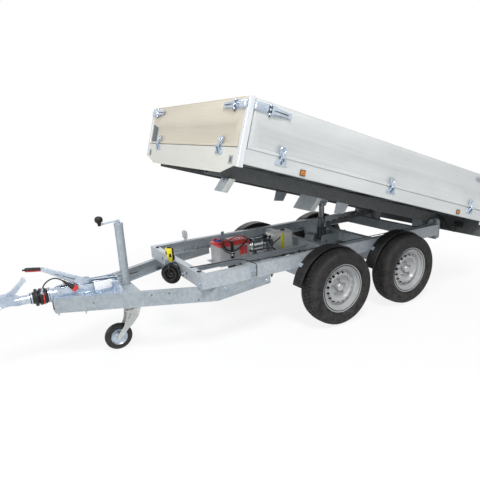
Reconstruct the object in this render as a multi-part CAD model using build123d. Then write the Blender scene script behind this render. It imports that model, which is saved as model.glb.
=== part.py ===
"""Tandem-axle tipper trailer with a galvanised chassis and an aluminium drop-side bed.

Millimetres. +X points forward to the coupling, +Y to the left and +Z up from the ground.
Stations along X are written from the middle of the wheel pair, and the finished model is then
moved so that the origin is at the bottom centre of its whole box.
The bed is drawn lowered and level, and is then tipped about its pivot to the parked angle.
"""
import copy
import math
import os

from build123d import *

# Wheels and axles
TYRE_R = 305.0
TYRE_W = 185.0
RIM_R = 195.0
RIM_LIP_Y = 709.0
RIM_W = 150.0
AXLE_SPREAD = 750.0
VENT_COUNT = 16
BOLT_CIRCLE_R = 56.0

# Chassis
RAIL_OUT = 525.0
RAIL_TOP = 587.0
RAIL_H = 100.0
RAIL_FLANGE = 50.0
RAIL_WALL = 5.0
CHASSIS_FRONT = 1466.0
CHASSIS_REAR = -958.0
RAIL_BOTTOM = RAIL_TOP - RAIL_H
CROSS_STATIONS = (275.0, -190.0, -790.0)
CROSS_W = 50.0
CROSS_DROP = 12.0

# Drawbar
BEAM_H = 105.0
BEAM_W = 38.0
BEAM_WALL = 5.0
BEAM_FRONT_X = 2350.0
BEAM_FRONT_Y = 50.0
KNEE_X = 1357.0
BEAM_REAR_X = 921.0
BEAM_REAR_H = 66.0

# Coupling and overrun brake
HITCH_Z = 505.0
BALL_X = 2665.0
BALL_R = 25.4
HEAD_R = 38.0
HOUSING_FRONT = 2346.0
HOUSING_REAR = 1905.0
HOUSING_R = 40.0
SHAFT_R = 24.0
BELLOWS_FRONT = 2482.0
BELLOWS_R = 60.0
LEVER_PIVOT = (2124.0, 565.0)
LEVER_ELBOW = (2383.0, 705.0)
GRIP_END = (2485.0, 716.0)
LEVER_Y = 46.0

# Jockey wheel
JOCKEY_X = 1855.0
JOCKEY_Y = 42.0
JOCKEY_TUBE_R = 30.0
JOCKEY_TUBE_WALL = 3.0
JOCKEY_TOP = 930.0
JOCKEY_BOTTOM = 330.0
JOCKEY_TRAIL = 102.0
JOCKEY_WHEEL_R = 100.0
JOCKEY_WHEEL_W = 50.0
JOCKEY_RIM_R = 58.0
CLAMP_HALF = 42.0

# Bed, measured back from its front face and down from the top of its boards
BED_L = 2640.0
BED_W = 1660.0
BED_FRONT = 1430.0
BOARD_TOP = 1086.0
BOARD_DROP = 301.0
BOARD_T = 25.0
BOARD_GAP = 6.0
TOP_BAND = 96.0
SLOPE_H = 30.0
RECESS = 16.0
BOTTOM_BAND = 14.0
STILE = 60.0
POST_W = 40.0
POST_DROP = 411.0
SIDE_DROP = 388.0
SIDE_T = 60.0
FLOOR_DROP = 318.0
FLOOR_T = 18.0
SUB_DROP = 480.0
SUB_IN = 395.0
SUB_W = 55.0
SUB_WALL = 5.0
PANEL_DROP = 460.0
PANEL_T = 4.0
CHAMFER_W = 209.0
CHAMFER_H = 53.0
PIVOT_X = -915.0
PIVOT_Z = 602.0
PIVOT_PIN_R = 14.0
LUG_R = 34.0
REST_TILT = 16.1
HINGE_OFFSET = 14.0
SIDE_HINGES = (301.0, 1320.0, 2339.0)
END_HINGE_Y = 560.0

# Lifting cylinder
CYL_X = 15.0
CYL_Z = 500.0
CYL_HEAD = (42.0, 574.0)
BARREL_R = 52.0
STAGE_R = (43.0, 34.0, 25.0)
BARREL_BELOW = 270.0
MAX_TILT = 45.0

# Clearance between pieces that move on each other
RUN_GAP = 6.0


def block(x0, x1, y0, y1, z0, z1):
    """A plain block between two corners."""
    centre = Pos((x0 + x1) / 2, (y0 + y1) / 2, (z0 + z1) / 2)
    return centre * Box(abs(x1 - x0), abs(y1 - y0), abs(z1 - z0))


def rod(start, end, radius):
    """A round bar between two points."""
    a = Vector(*start)
    b = Vector(*end)
    return extrude(Plane(origin=a, z_dir=b - a) * Circle(radius), (b - a).length)


def pipe(start, end, radius, wall):
    """A round tube between two points."""
    a = Vector(*start)
    b = Vector(*end)
    ring = Circle(radius) - Circle(radius - wall)
    return extrude(Plane(origin=a, z_dir=b - a) * ring, (b - a).length)


def plate_xz(points, y0, y1):
    """A plate across Y from an outline of (x, z) points."""
    outline = Polyline(*[(x, y0, z) for x, z in points], close=True)
    return extrude(make_face(outline), y1 - y0, dir=(0, 1, 0))


def plate_yz(points, x0, x1):
    """A plate across X from an outline of (y, z) points."""
    outline = Polyline(*[(x0, y, z) for y, z in points], close=True)
    return extrude(make_face(outline), x1 - x0, dir=(1, 0, 0))


def plate_xy(points, z0, z1):
    """A plate across Z from an outline of (x, y) points."""
    outline = Polyline(*[(x, y, z0) for x, y in points], close=True)
    return extrude(make_face(outline), z1 - z0, dir=(0, 0, 1))


def flip(solid):
    """The mirror image on the other side of the trailer."""
    return mirror(solid, about=Plane.XZ)


def both(solid):
    """The solid and its mirror image, as pieces that do not touch."""
    return [solid, flip(solid)]


def turned(profile, centre, axis="Y"):
    """A round solid from half-profile points (along, radius) about an axis through centre."""
    face = make_face(Polyline(*[(radius, 0, along) for along, radius in profile], close=True))
    body = revolve(face, Axis.Z)
    spin = {"Y": Rot(-90, 0, 0), "X": Rot(0, 90, 0), "Z": Rot(0, 0, 0)}[axis]
    return Pos(*centre) * spin * body


# Chassis


def rail():
    """The left chassis channel, with its back outwards."""
    inner = RAIL_OUT - RAIL_FLANGE
    solid = block(CHASSIS_REAR, CHASSIS_FRONT - CROSS_W, inner, RAIL_OUT, RAIL_BOTTOM, RAIL_TOP)
    hollow = block(CHASSIS_REAR, CHASSIS_FRONT - CROSS_W, inner, RAIL_OUT - RAIL_WALL,
                   RAIL_BOTTOM + RAIL_WALL, RAIL_TOP - RAIL_WALL)
    return solid - hollow


def front_member():
    """The channel across the front of the chassis, with its back forwards."""
    back = CHASSIS_FRONT - CROSS_W
    solid = block(back, CHASSIS_FRONT, -RAIL_OUT, RAIL_OUT, RAIL_BOTTOM, RAIL_TOP)
    hollow = block(back, CHASSIS_FRONT - RAIL_WALL, -RAIL_OUT + RAIL_WALL, RAIL_OUT - RAIL_WALL,
                   RAIL_BOTTOM + RAIL_WALL, RAIL_TOP - RAIL_WALL)
    return solid - hollow


def cross_members():
    """Channels between the rails, lower than the rails so that the bed's beams pass over."""
    inner = RAIL_OUT - RAIL_FLANGE
    pieces = []
    for x in CROSS_STATIONS:
        solid = block(x, x + CROSS_W, -inner, inner, RAIL_BOTTOM, RAIL_TOP - CROSS_DROP)
        hollow = block(x, x + CROSS_W - RAIL_WALL, -inner, inner,
                       RAIL_BOTTOM + RAIL_WALL, RAIL_TOP - CROSS_DROP - RAIL_WALL)
        member = solid - hollow
        if x == CROSS_STATIONS[1]:
            member += cradle() + flip(cradle())
        pieces.append(member)
    return pieces


STOP_X = CHASSIS_FRONT - CROSS_W / 2
STOP_Y = SUB_IN + SUB_W / 2
STOP_R = 12.0
STOP_H = 13.0


def rubber_stop():
    """The left buffer on the front member, under the bed's beam."""
    return rod((STOP_X, STOP_Y, RAIL_TOP - 2), (STOP_X, STOP_Y, RAIL_TOP + STOP_H), STOP_R)


LUG_T = 12.0
PIN_Y0 = SUB_IN + 4.0


def pivot_lugs():
    """Plates on the rails that hold the tipping pins, with the pins fixed in them."""
    y0 = RAIL_OUT - RAIL_FLANGE - LUG_T
    y1 = y0 + LUG_T
    foot = 70.0
    heel = PIVOT_X - CHASSIS_REAR
    outline = [(PIVOT_X - heel, RAIL_BOTTOM), (PIVOT_X + foot, RAIL_BOTTOM),
               (PIVOT_X + foot, RAIL_TOP - 10), (PIVOT_X + LUG_R, PIVOT_Z), (PIVOT_X, PIVOT_Z + LUG_R),
               (PIVOT_X - LUG_R, PIVOT_Z), (PIVOT_X - heel, RAIL_TOP - 10)]
    plate = plate_xz(outline, y0, y1)
    crown = rod((PIVOT_X, y0, PIVOT_Z), (PIVOT_X, y1, PIVOT_Z), LUG_R)
    pin = rod((PIVOT_X, PIN_Y0, PIVOT_Z), (PIVOT_X, y1, PIVOT_Z), PIVOT_PIN_R)
    return both(plate + crown + pin)


END_TOP = 655.0
END_BOTTOM = 440.0
END_IN = 215.0
END_OUT = 500.0
END_FLANGE = 50.0
END_NOTCH = 552.0


def end_brackets():
    """Upright channel pieces behind the rails, that close the chassis at the rear."""
    back = CHASSIS_REAR - END_FLANGE
    notch_in = SUB_IN - 12
    notch_out = SUB_IN + SUB_W + 12
    web = plate_yz([(END_IN, END_BOTTOM), (END_OUT, END_BOTTOM), (END_OUT, END_TOP - 15), (notch_out, END_TOP - 15),
                    (notch_out, END_NOTCH), (notch_in, END_NOTCH), (notch_in, END_TOP), (END_IN, END_TOP)],
                   CHASSIS_REAR - RAIL_WALL, CHASSIS_REAR)
    flange = plate_xz([(CHASSIS_REAR, END_BOTTOM), (CHASSIS_REAR, END_TOP - 15), (back, END_TOP - 39),
                       (back, END_BOTTOM + 12)], END_OUT - RAIL_WALL, END_OUT)
    return both(web + flange)


# Drawbar


def beam_line(offset):
    """The drawbar beam's outer line in plan, moved inwards by an offset."""
    run = BEAM_FRONT_X - KNEE_X
    rise = RAIL_OUT - BEAM_FRONT_Y
    slope = math.atan2(rise, run)
    front_y = BEAM_FRONT_Y - offset / math.cos(slope)
    knee_x = KNEE_X - offset * math.tan(slope / 2)
    return [(BEAM_FRONT_X, front_y), (knee_x, RAIL_OUT - offset), (BEAM_REAR_X, RAIL_OUT - offset)]


def drawbar_beam():
    """The left drawbar channel: it slants to the knee and then tapers under the rail."""
    outer = beam_line(0)
    inner = beam_line(BEAM_W)
    top = RAIL_BOTTOM
    bottom = top - BEAM_H
    bar = plate_xy(outer + inner[::-1], bottom, top)
    wall_out = beam_line(BEAM_WALL)
    wall_in = beam_line(BEAM_W + 1)
    bar -= plate_xy(wall_out + wall_in[::-1], bottom + BEAM_WALL, top - BEAM_WALL)
    cut = plate_xz([(KNEE_X, bottom - 1), (BEAM_REAR_X - 1, bottom - 1),
                    (BEAM_REAR_X - 1, top - BEAM_REAR_H), (KNEE_X, bottom)],
                   RAIL_OUT - BEAM_W - 60, RAIL_OUT + 1)
    return bar - cut


def overrun_housing():
    """The zinc-plated housing of the overrun brake, standing on the two beams."""
    top = RAIL_BOTTOM
    half = BEAM_FRONT_Y - 2
    rear_half = beam_web_y(HOUSING_REAR) - 6
    base = plate_xy([(HOUSING_FRONT, -half), (HOUSING_FRONT, half), (HOUSING_REAR, rear_half),
                     (HOUSING_REAR, -rear_half)], top + 0.2, top + 7)
    tube = rod((HOUSING_REAR + 40, 0, HITCH_Z), (HOUSING_FRONT + 18, 0, HITCH_Z), HOUSING_R)
    cover = block(HOUSING_REAR + 70, HOUSING_FRONT - 60, -33, 33, HITCH_Z, HITCH_Z + HOUSING_R + 6)
    cover = fillet(cover.edges().filter_by(Axis.X).group_by(Axis.Z)[-1], 10)
    tail = block(HOUSING_REAR, HOUSING_REAR + 6, -60, 60, top + 4, HITCH_Z + 44)
    solid = base + tube + cover + tail
    for x in (HOUSING_FRONT - 60, HOUSING_FRONT - 150, HOUSING_REAR + 60):
        solid += block(x, x + 8, -half + 4, half - 4, top + 4, HITCH_Z + 14)
    solid -= block(HOUSING_REAR - 1, BEAM_FRONT_X + 0.3, -rear_half, rear_half, HITCH_Z - HOUSING_R - 5, top + 0.2)
    flange = rod((HOUSING_FRONT + 6, 0, HITCH_Z), (HOUSING_FRONT + 18, 0, HITCH_Z), HOUSING_R + 12)
    return solid + flange


RIB_PLACES = ((0.21, 0.88), (0.44, 0.93), (0.67, 1.0))


def bellows():
    """The rubber boot over the drawbar shaft, with three round ribs, the tallest in front."""
    back = HOUSING_FRONT + 18.3
    length = BELLOWS_FRONT - back
    valley = BELLOWS_R - 17
    profile = [(back, SHAFT_R + 0.3), (back, BELLOWS_R - 12)]
    for place, size in RIB_PLACES:
        middle = back + place * length
        for step, radius in ((-0.1, valley), (-0.05, BELLOWS_R * size - 4), (0, BELLOWS_R * size),
                             (0.05, BELLOWS_R * size - 4), (0.1, valley)):
            profile.append((middle + step * length, radius))
    profile += [(BELLOWS_FRONT - 12, 38), (BELLOWS_FRONT, 35), (BELLOWS_FRONT, SHAFT_R + 0.3)]
    return turned(profile, (0, 0, HITCH_Z), "X")


def coupling_head():
    """The pressed ball coupling with its socket, its handle and the drawbar shaft."""
    shaft = rod((HOUSING_FRONT + 18.3, 0, HITCH_Z), (BELLOWS_FRONT + 30, 0, HITCH_Z), SHAFT_R)
    tail = rod((BELLOWS_FRONT + 0.3, 0, HITCH_Z), (BALL_X - 90, 0, HITCH_Z), SHAFT_R + 7)
    side = plate_xz([(BALL_X - 120, HITCH_Z - 26), (BALL_X - 120, HITCH_Z + 30), (BALL_X - 84, HITCH_Z + 48),
                     (BALL_X - 40, HITCH_Z + 56), (BALL_X - 4, HITCH_Z + 52), (BALL_X + 22, HITCH_Z + 38),
                     (BALL_X + 36, HITCH_Z + 18), (BALL_X + 40, HITCH_Z - 16), (BALL_X - 60, HITCH_Z - 16)], -60, 60)
    plan = plate_xy([(BALL_X - 121, -24), (BALL_X - 121, 24), (BALL_X - 60, 27), (BALL_X - 14, 36),
                     (BALL_X - 14, -36), (BALL_X - 60, -27)], HITCH_Z - 30, HITCH_Z + 60)
    plan += rod((BALL_X, 0, HITCH_Z - 30), (BALL_X, 0, HITCH_Z + 60), HEAD_R)
    head = shaft + tail + (side & plan)
    head -= rod((BALL_X, 0, HITCH_Z - 60), (BALL_X, 0, HITCH_Z), BALL_R)
    head -= Pos(BALL_X, 0, HITCH_Z) * Sphere(BALL_R)
    pivot = (BALL_X - 70, HITCH_Z + 50)
    grip = (BALL_X - 163, HITCH_Z + 134)
    lever = plate_xz([(pivot[0] + 22, pivot[1] - 14), (pivot[0] + 18, pivot[1] + 14), (pivot[0] - 10, pivot[1] + 26),
                      (grip[0] + 8, grip[1] + 8), (grip[0] - 8, grip[1] - 8), (pivot[0] - 18, pivot[1] - 14)], -12, 12)
    knob = rod((grip[0], -17, grip[1]), (grip[0], 17, grip[1]), 13)
    return head + lever + knob


def handbrake():
    """The handbrake lever: a folded steel arm with a two-part grip."""
    px, pz = LEVER_PIVOT
    ex, ez = LEVER_ELBOW
    y0 = LEVER_Y - 12
    y1 = LEVER_Y + 12
    arm = plate_xz([(px - 40, pz - 22), (px - 44, pz + 8), (px, pz + 22), (ex, ez + 9), (ex + 8, ez - 12),
                    (px + 30, pz - 22)], y0, y1)
    post = block(px - 46, px + 46, y0 + 6.5, y1, RAIL_BOTTOM + 8.3, pz)
    return arm + post


def brake_grip():
    """The hand grip at the end of the lever, with its button."""
    ex, ez = LEVER_ELBOW
    gx, gz = GRIP_END
    start = Vector(ex + 8.5, LEVER_Y, ez - 2)
    end = Vector(gx, LEVER_Y, gz)
    grip = rod(start, end, 15)
    button = rod(end, end + (end - start).normalized() * 14, 6)
    return grip + button


LEAD_R = 4.5
LEAD_ROUTE = [(2408, 50, 551), (2398, 55, 590), (2368, 60, 620), (2330, 63, 634), (2294, 65, 624), (2270, 67, 601)]
PLUG_TIP = (2196.0, 73.0, 527.0)


def cord(points, radius):
    """A round cord along straight runs joined by arcs as large as the runs allow."""
    stops = [Vector(*point) for point in points]
    edges = []
    start = stops[0]
    for before, corner, after in zip(stops, stops[1:], stops[2:]):
        come = (corner - before).normalized()
        go = (after - corner).normalized()
        half = math.radians(come.get_angle(go)) / 2
        back = 0.45 * min((corner - before).length, (after - corner).length)
        bend = back / math.tan(half)
        middle = corner + (go - come).normalized() * (bend / math.cos(half) - bend)
        edges += [Line(start, corner - come * back), ThreePointArc(corner - come * back, middle, corner + go * back)]
        start = corner + go * back
    edges.append(Line(start, stops[-1]))
    return sweep(Plane(origin=stops[0], z_dir=stops[1] - stops[0]) * Circle(radius), path=Wire(edges))


def plug():
    """The lighting plug at the lead's end: a tapered boot and a round shell with its collar."""
    top = Vector(*LEAD_ROUTE[-1])
    along_plug = (Vector(*PLUG_TIP) - top).normalized()
    length = (Vector(*PLUG_TIP) - top).length
    place = Plane(origin=top, z_dir=along_plug)
    boot = place * Pos(0, 0, (length - 26) / 2 + 0.2) * Cone(7, 17, length - 26)
    shell = place * Pos(0, 0, length - 13) * Cylinder(20, 26)
    collar = place * Pos(0, 0, length - 22) * Cylinder(22, 6)
    return boot + shell + collar


# Jockey wheel


def jockey_clamp():
    """The plate between the beams that carries the jockey tube in a split ring, with its bolt."""
    z1 = RAIL_BOTTOM - BEAM_WALL - 0.3
    z0 = z1 - 84
    ring = pipe((JOCKEY_X, JOCKEY_Y, z0), (JOCKEY_X, JOCKEY_Y, z1), JOCKEY_TUBE_R + 9, 8.5)
    near = JOCKEY_X + CLAMP_HALF
    far = JOCKEY_X - CLAMP_HALF
    corners = [(near, beam_web_y(near)), (near, -beam_web_y(near)), (far, -beam_web_y(far)), (far, beam_web_y(far))]
    plate = plate_xy(corners, z1 - 6, z1)
    plate += plate_xy([corners[2], corners[3], (far + 5, beam_web_y(far + 5)), (far + 5, -beam_web_y(far + 5))], z1 - 50, z1)
    plate -= rod((JOCKEY_X, JOCKEY_Y, z1 - 60), (JOCKEY_X, JOCKEY_Y, z1 + 1), JOCKEY_TUBE_R + 2)
    side = JOCKEY_Y - JOCKEY_TUBE_R
    bolt = rod((JOCKEY_X, side - 8, z0 + 30), (JOCKEY_X, side - 50, z0 + 30), 8)
    handle = rod((JOCKEY_X - 52, side - 44, z0 + 24), (JOCKEY_X + 52, side - 44, z0 + 36), 5)
    return ring + plate + bolt + handle


def beam_web_y(x):
    """Where the inside of the left beam's web is at a station."""
    (x0, y0), (x1, y1), _ = beam_line(BEAM_WALL + 0.3)
    return y0 + (x0 - x) * (y1 - y0) / (x0 - x1)


def jockey_tube():
    """The outer tube of the jockey wheel with its closed top."""
    tube = pipe((JOCKEY_X, JOCKEY_Y, JOCKEY_BOTTOM), (JOCKEY_X, JOCKEY_Y, JOCKEY_TOP), JOCKEY_TUBE_R,
                JOCKEY_TUBE_WALL)
    cap = rod((JOCKEY_X, JOCKEY_Y, JOCKEY_TOP - 8), (JOCKEY_X, JOCKEY_Y, JOCKEY_TOP + 4), JOCKEY_TUBE_R)
    return tube + cap


CRANK_REACH = 128.0


def jockey_crank():
    """The cranked handle with its round knob."""
    top = JOCKEY_TOP + 4.3
    boss = rod((JOCKEY_X, JOCKEY_Y, top), (JOCKEY_X, JOCKEY_Y, top + 24), 12)
    arm = rod((JOCKEY_X, JOCKEY_Y, top + 14), (JOCKEY_X + CRANK_REACH, JOCKEY_Y, top + 2), 7)
    stem = rod((JOCKEY_X + CRANK_REACH, JOCKEY_Y, top - 4), (JOCKEY_X + CRANK_REACH, JOCKEY_Y, top + 30), 8)
    knob = Pos(JOCKEY_X + CRANK_REACH, JOCKEY_Y, top + 44) * Sphere(20)
    return boss + arm + stem + knob


JOCKEY_HUB_X = JOCKEY_X + JOCKEY_TRAIL
LEG_R = JOCKEY_TUBE_R - JOCKEY_TUBE_WALL - 2.0
CROWN_Z = 292.0


def jockey_leg():
    """The inner tube that the spindle winds down."""
    return pipe((JOCKEY_X, JOCKEY_Y, CROWN_Z + 14), (JOCKEY_X, JOCKEY_Y, 640), LEG_R, 3)


FORK_IN = JOCKEY_WHEEL_W / 2 + RUN_GAP
FORK_REAR = 76.0


def jockey_fork():
    """The swivelling fork: two bent plates from the crown down to the wheel pin."""
    crown = rod((JOCKEY_X, JOCKEY_Y, CROWN_Z), (JOCKEY_X, JOCKEY_Y, CROWN_Z + 13.5), LEG_R + 4)
    bridge = block(JOCKEY_X - FORK_REAR, JOCKEY_X + 34, JOCKEY_Y - FORK_IN - 5, JOCKEY_Y + FORK_IN + 5,
                   CROWN_Z - 8, CROWN_Z)
    hub = (JOCKEY_HUB_X, JOCKEY_WHEEL_R)
    outline = [(JOCKEY_X - FORK_REAR, CROWN_Z), (JOCKEY_X + 34, CROWN_Z), (JOCKEY_X + 32, CROWN_Z - 22),
               (JOCKEY_X + 38, CROWN_Z - 62), (JOCKEY_X + 62, 176), (hub[0] + 12, hub[1] + 14),
               (hub[0] + 16, hub[1] - 4), (hub[0] + 2, hub[1] - 17), (hub[0] - 15, hub[1] - 10),
               (JOCKEY_X + 36, 148), (JOCKEY_X - 12, 186), (JOCKEY_X - 52, 232)]
    plates = [plate_xz(outline, JOCKEY_Y + side * FORK_IN, JOCKEY_Y + side * (FORK_IN + 5))
              for side in (-1, 1)]
    pin = rod((hub[0], JOCKEY_Y - FORK_IN - 9, hub[1]), (hub[0], JOCKEY_Y + FORK_IN + 9, hub[1]), 7)
    return crown + bridge + plates[0] + plates[1] + pin


def jockey_rim():
    """The pressed steel rim of the jockey wheel, with its bore for the pin."""
    half = JOCKEY_WHEEL_W / 2
    profile = [(-half + 6, 7.4), (-half + 6, 16), (-8, 20), (-6, JOCKEY_RIM_R - 12), (-half + 4, JOCKEY_RIM_R - 2),
               (-half + 4, JOCKEY_RIM_R), (half - 4, JOCKEY_RIM_R), (half - 4, JOCKEY_RIM_R - 2),
               (6, JOCKEY_RIM_R - 12), (8, 20), (half - 6, 16), (half - 6, 7.4)]
    return turned(profile, (JOCKEY_HUB_X, JOCKEY_Y, JOCKEY_WHEEL_R))


def jockey_tyre():
    """The solid rubber tyre of the jockey wheel."""
    half = JOCKEY_WHEEL_W / 2
    profile = [(-half + 4, JOCKEY_RIM_R + 0.1), (-half, JOCKEY_RIM_R + 14), (-half + 6, JOCKEY_WHEEL_R - 10),
               (-half + 16, JOCKEY_WHEEL_R), (half - 16, JOCKEY_WHEEL_R), (half - 6, JOCKEY_WHEEL_R - 10),
               (half, JOCKEY_RIM_R + 14), (half - 4, JOCKEY_RIM_R + 0.1)]
    return turned(profile, (JOCKEY_HUB_X, JOCKEY_Y, JOCKEY_WHEEL_R))


# Axles and wheels

WHEELS = [("left_front", 1, AXLE_SPREAD / 2), ("right_front", -1, AXLE_SPREAD / 2),
          ("left_rear", 1, -AXLE_SPREAD / 2), ("right_rear", -1, -AXLE_SPREAD / 2)]
AXLE_TUBE = 80.0
ARM_REACH = 150.0
ARM_RISE = 95.0
ARM_Y = 505.0
STUB_R = 18.0
WHEEL_MID = RIM_LIP_Y - RIM_W / 2
DRUM_IN = WHEEL_MID - 62.0


def axle(x):
    """A rubber-torsion axle: a square tube, its trailing arms, back plates and stubs."""
    tube_x = x + ARM_REACH
    tube_z = TYRE_R + ARM_RISE
    half = AXLE_TUBE / 2
    solid = block(tube_x - half, tube_x + half, -ARM_Y, ARM_Y, tube_z - half, tube_z + half)
    solid -= block(tube_x - half + 8, tube_x + half - 8, -ARM_Y - 1, ARM_Y + 1, tube_z - half + 8,
                   tube_z + half - 8)
    plug = block(tube_x - 22, tube_x + 22, ARM_Y - 60, ARM_Y + 4, tube_z - half + 7.9, tube_z + half - 7.9)
    arm = plate_xz([(tube_x + 30, tube_z + 26), (tube_x + 38, tube_z - 24), (x + 6, TYRE_R - 34),
                    (x - 34, TYRE_R - 14), (x - 26, TYRE_R + 32)], ARM_Y + 4, ARM_Y + 26)
    plate = rod((x, ARM_Y + 26, TYRE_R), (x, DRUM_IN - RUN_GAP, TYRE_R), 104)
    stub = rod((x, ARM_Y + 26, TYRE_R), (x, WHEEL_MID + 20, TYRE_R), STUB_R)
    end = plug + arm + plate + stub
    bracket = block(tube_x - 50, tube_x + 50, RAIL_OUT - RAIL_FLANGE, RAIL_OUT, tube_z + half, RAIL_BOTTOM)
    return solid + end + flip(end) + bracket + flip(bracket)


def wheel_place(side, x):
    """Where a wheel drawn with its outside towards +Y goes."""
    turn = Rot(0, 0, 0) if side > 0 else Rot(0, 0, 180)
    return Pos(x, side * WHEEL_MID, TYRE_R) * turn


def wheel_rim():
    """A steel wheel with its dished disc, vent holes, hub and brake drum, outside to +Y."""
    half = RIM_W / 2
    lip = RIM_R
    bed_r = RIM_R - 18
    well = RIM_R - 42
    barrel = [(-half, lip), (-half, lip - 5), (-half + 9, bed_r - 5), (-14, bed_r - 5), (-4, well - 4),
              (34, well - 4), (46, bed_r - 5), (half - 9, bed_r - 5), (half, lip - 5), (half, lip),
              (half - 6, lip), (half - 13, bed_r), (50, bed_r), (38, well), (-8, well), (-18, bed_r),
              (-half + 13, bed_r), (-half + 6, lip)]
    disc = [(30, well - 3), (36, well - 24), (50, well - 34), (50, 104), (30, 92), (24, 72), (24, 40), (19, 40),
            (19, 74), (26, 96), (44, 108), (44, well - 36), (30, well - 28), (24, well - 3)]
    hub = [(-62, STUB_R + 0.6), (-62, 112), (-6, 112), (-6, 66), (18.7, 66), (18.7, 33), (46, 31), (52, 24),
           (52, 0), (22, 0), (22, STUB_R + 0.6)]
    rim = turned(barrel, (0, 0, 0)) + turned(disc, (0, 0, 0))
    vent = rod((0, 20, 122), (0, 70, 122), 11)
    for i in range(VENT_COUNT):
        rim -= Rot(0, 360 / VENT_COUNT * (i + 0.5), 0) * vent
    rim += turned(hub, (0, 0, 0))
    bolt = rod((0, 18, BOLT_CIRCLE_R), (0, 36, BOLT_CIRCLE_R), 9)
    for i in range(5):
        rim += Rot(0, 72 * i, 0) * bolt
    return rim


def wheel_tyre():
    """A road tyre: round shoulders, bulged walls and beads on the rim."""
    half = TYRE_W / 2
    seat = RIM_R - 17.8
    inside = RIM_W / 2 - 13
    profile = [(-inside, seat), (-inside - 7, RIM_R + 0.5), (-half + 4, RIM_R + 18), (-half, RIM_R + 48),
               (-half + 5, TYRE_R - 34), (-half + 20, TYRE_R - 10), (-half + 40, TYRE_R - 2), (0, TYRE_R),
               (half - 40, TYRE_R - 2), (half - 20, TYRE_R - 10), (half - 5, TYRE_R - 34), (half, RIM_R + 48),
               (half - 4, RIM_R + 18), (inside + 7, RIM_R + 0.5), (inside, seat), (inside - 12, seat),
               (inside - 4, RIM_R + 12), (half - 12, RIM_R + 46), (half - 24, TYRE_R - 22), (0, TYRE_R - 12),
               (-half + 24, TYRE_R - 22), (-half + 12, RIM_R + 46), (-inside + 4, RIM_R + 12), (-inside + 12, seat)]
    return turned(profile, (0, 0, 0))


GUARD_GAP = 28.0
GUARD_T = 4.0
GUARD_SHIFT = (18.0, -12.0)
GUARD_IN = RAIL_OUT + 2.0
GUARD_OUT = WHEEL_MID - 8.0
GUARD_FRONT = 2.0
GUARD_BACK = 192.0


def guard_section(angle):
    """Where the guard's arc is at an angle from forward, as a point pair (inner, outer)."""
    r0 = TYRE_R + GUARD_GAP
    c = math.cos(math.radians(angle))
    s = math.sin(math.radians(angle))
    return (r0 * c, r0 * s), ((r0 + GUARD_T) * c, (r0 + GUARD_T) * s)


# Bed


def bx(back):
    """The lowered station of a point measured back from the bed's front."""
    return BED_FRONT - back


def bz(drop):
    """The lowered height of a point measured down from the top of the boards."""
    return BOARD_TOP - drop


def tip(solid, angle=REST_TILT):
    """Raise a solid drawn with the bed level to the parked angle."""
    pivot = Axis((PIVOT_X, 0, PIVOT_Z), (0, 1, 0))
    return solid.rotate(pivot, -angle)


def board(length, height):
    """A drop side seen with its outside to +Y: its length along X and its foot at z = 0."""
    slab = block(-length / 2, length / 2, -BOARD_T, 0, 0, height)
    top = height - TOP_BAND
    pan = plate_yz([(0.1, top), (-RECESS, top - SLOPE_H), (-RECESS, BOTTOM_BAND + RECESS), (0.1, BOTTOM_BAND)],
                   -length / 2 + STILE, length / 2 - STILE)
    return slab - pan


BOARD_H = BOARD_DROP - BOARD_GAP
SIDE_LEN = BED_L - 2 * POST_W - 2 * BOARD_GAP
END_LEN = BED_W - 2 * POST_W - 2 * BOARD_GAP
BOARD_Z = BOARD_TOP - BOARD_H
BOARDS = {
    "left_board": (SIDE_LEN, Pos(bx(BED_L / 2), BED_W / 2, BOARD_Z)),
    "right_board": (SIDE_LEN, Pos(bx(BED_L / 2), -BED_W / 2, BOARD_Z) * Rot(0, 0, 180)),
    "headboard": (END_LEN, Pos(BED_FRONT, 0, BOARD_Z) * Rot(0, 0, -90)),
    "tailboard": (END_LEN, Pos(bx(BED_L), 0, BOARD_Z) * Rot(0, 0, 90)),
}
HINGE_Z = BOARD_Z - BOARD_GAP / 2
EAR_R = 8.5
LATCH_L = 128.0
LATCH_H = 40.0
LATCH_T = 12.0


def hinge_leaf(x):
    """The moving half of a drop-side hinge: a keyhole plate with its knuckle."""
    plate = block(x - 20, x + 20, 0.2, 6, 8, 44)
    plate += Pos(x, 3.1, 44) * Rot(-90, 0, 0) * Cylinder(20, 5.8)
    knuckle = rod((x - 9, HINGE_OFFSET, -BOARD_GAP / 2), (x + 9, HINGE_OFFSET, -BOARD_GAP / 2), 8)
    arm = block(x - 9, x + 9, 0.2, HINGE_OFFSET, -BOARD_GAP / 2, 14)
    bore = rod((x - 30, HINGE_OFFSET, -BOARD_GAP / 2), (x + 30, HINGE_OFFSET, -BOARD_GAP / 2), 4.4)
    return plate + arm + knuckle - bore


def latch(length, height, end):
    """An over-centre latch at one end of a board's top edge: plate, keeper, knuckle and lever."""
    tip_x = end * (length / 2 - 2)
    z1 = height - 12
    z0 = z1 - LATCH_H

    def at(back):
        return tip_x - end * back

    case = block(at(0), at(LATCH_L), 0.2, 4, z0, z1)
    case += plate_xy([(at(6), 3), (at(14), LATCH_T), (at(48), LATCH_T), (at(56), 3)], z0 + 3, z1 - 3)
    case += rod((at(61), 9, z0 + 1), (at(61), 9, z1 - 1), 6)
    case += plate_xy([(at(61), 3), (at(61), 15), (at(70), 17), (at(118), 11), (at(122), 3)], z0 + 8, z1 - 8)
    return case


def hinge_stations(name):
    """Where the hinges are along a board."""
    if name.endswith("_board"):
        return [BED_L / 2 - back for back in SIDE_HINGES]
    return [-END_HINGE_Y, END_HINGE_Y]


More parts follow.
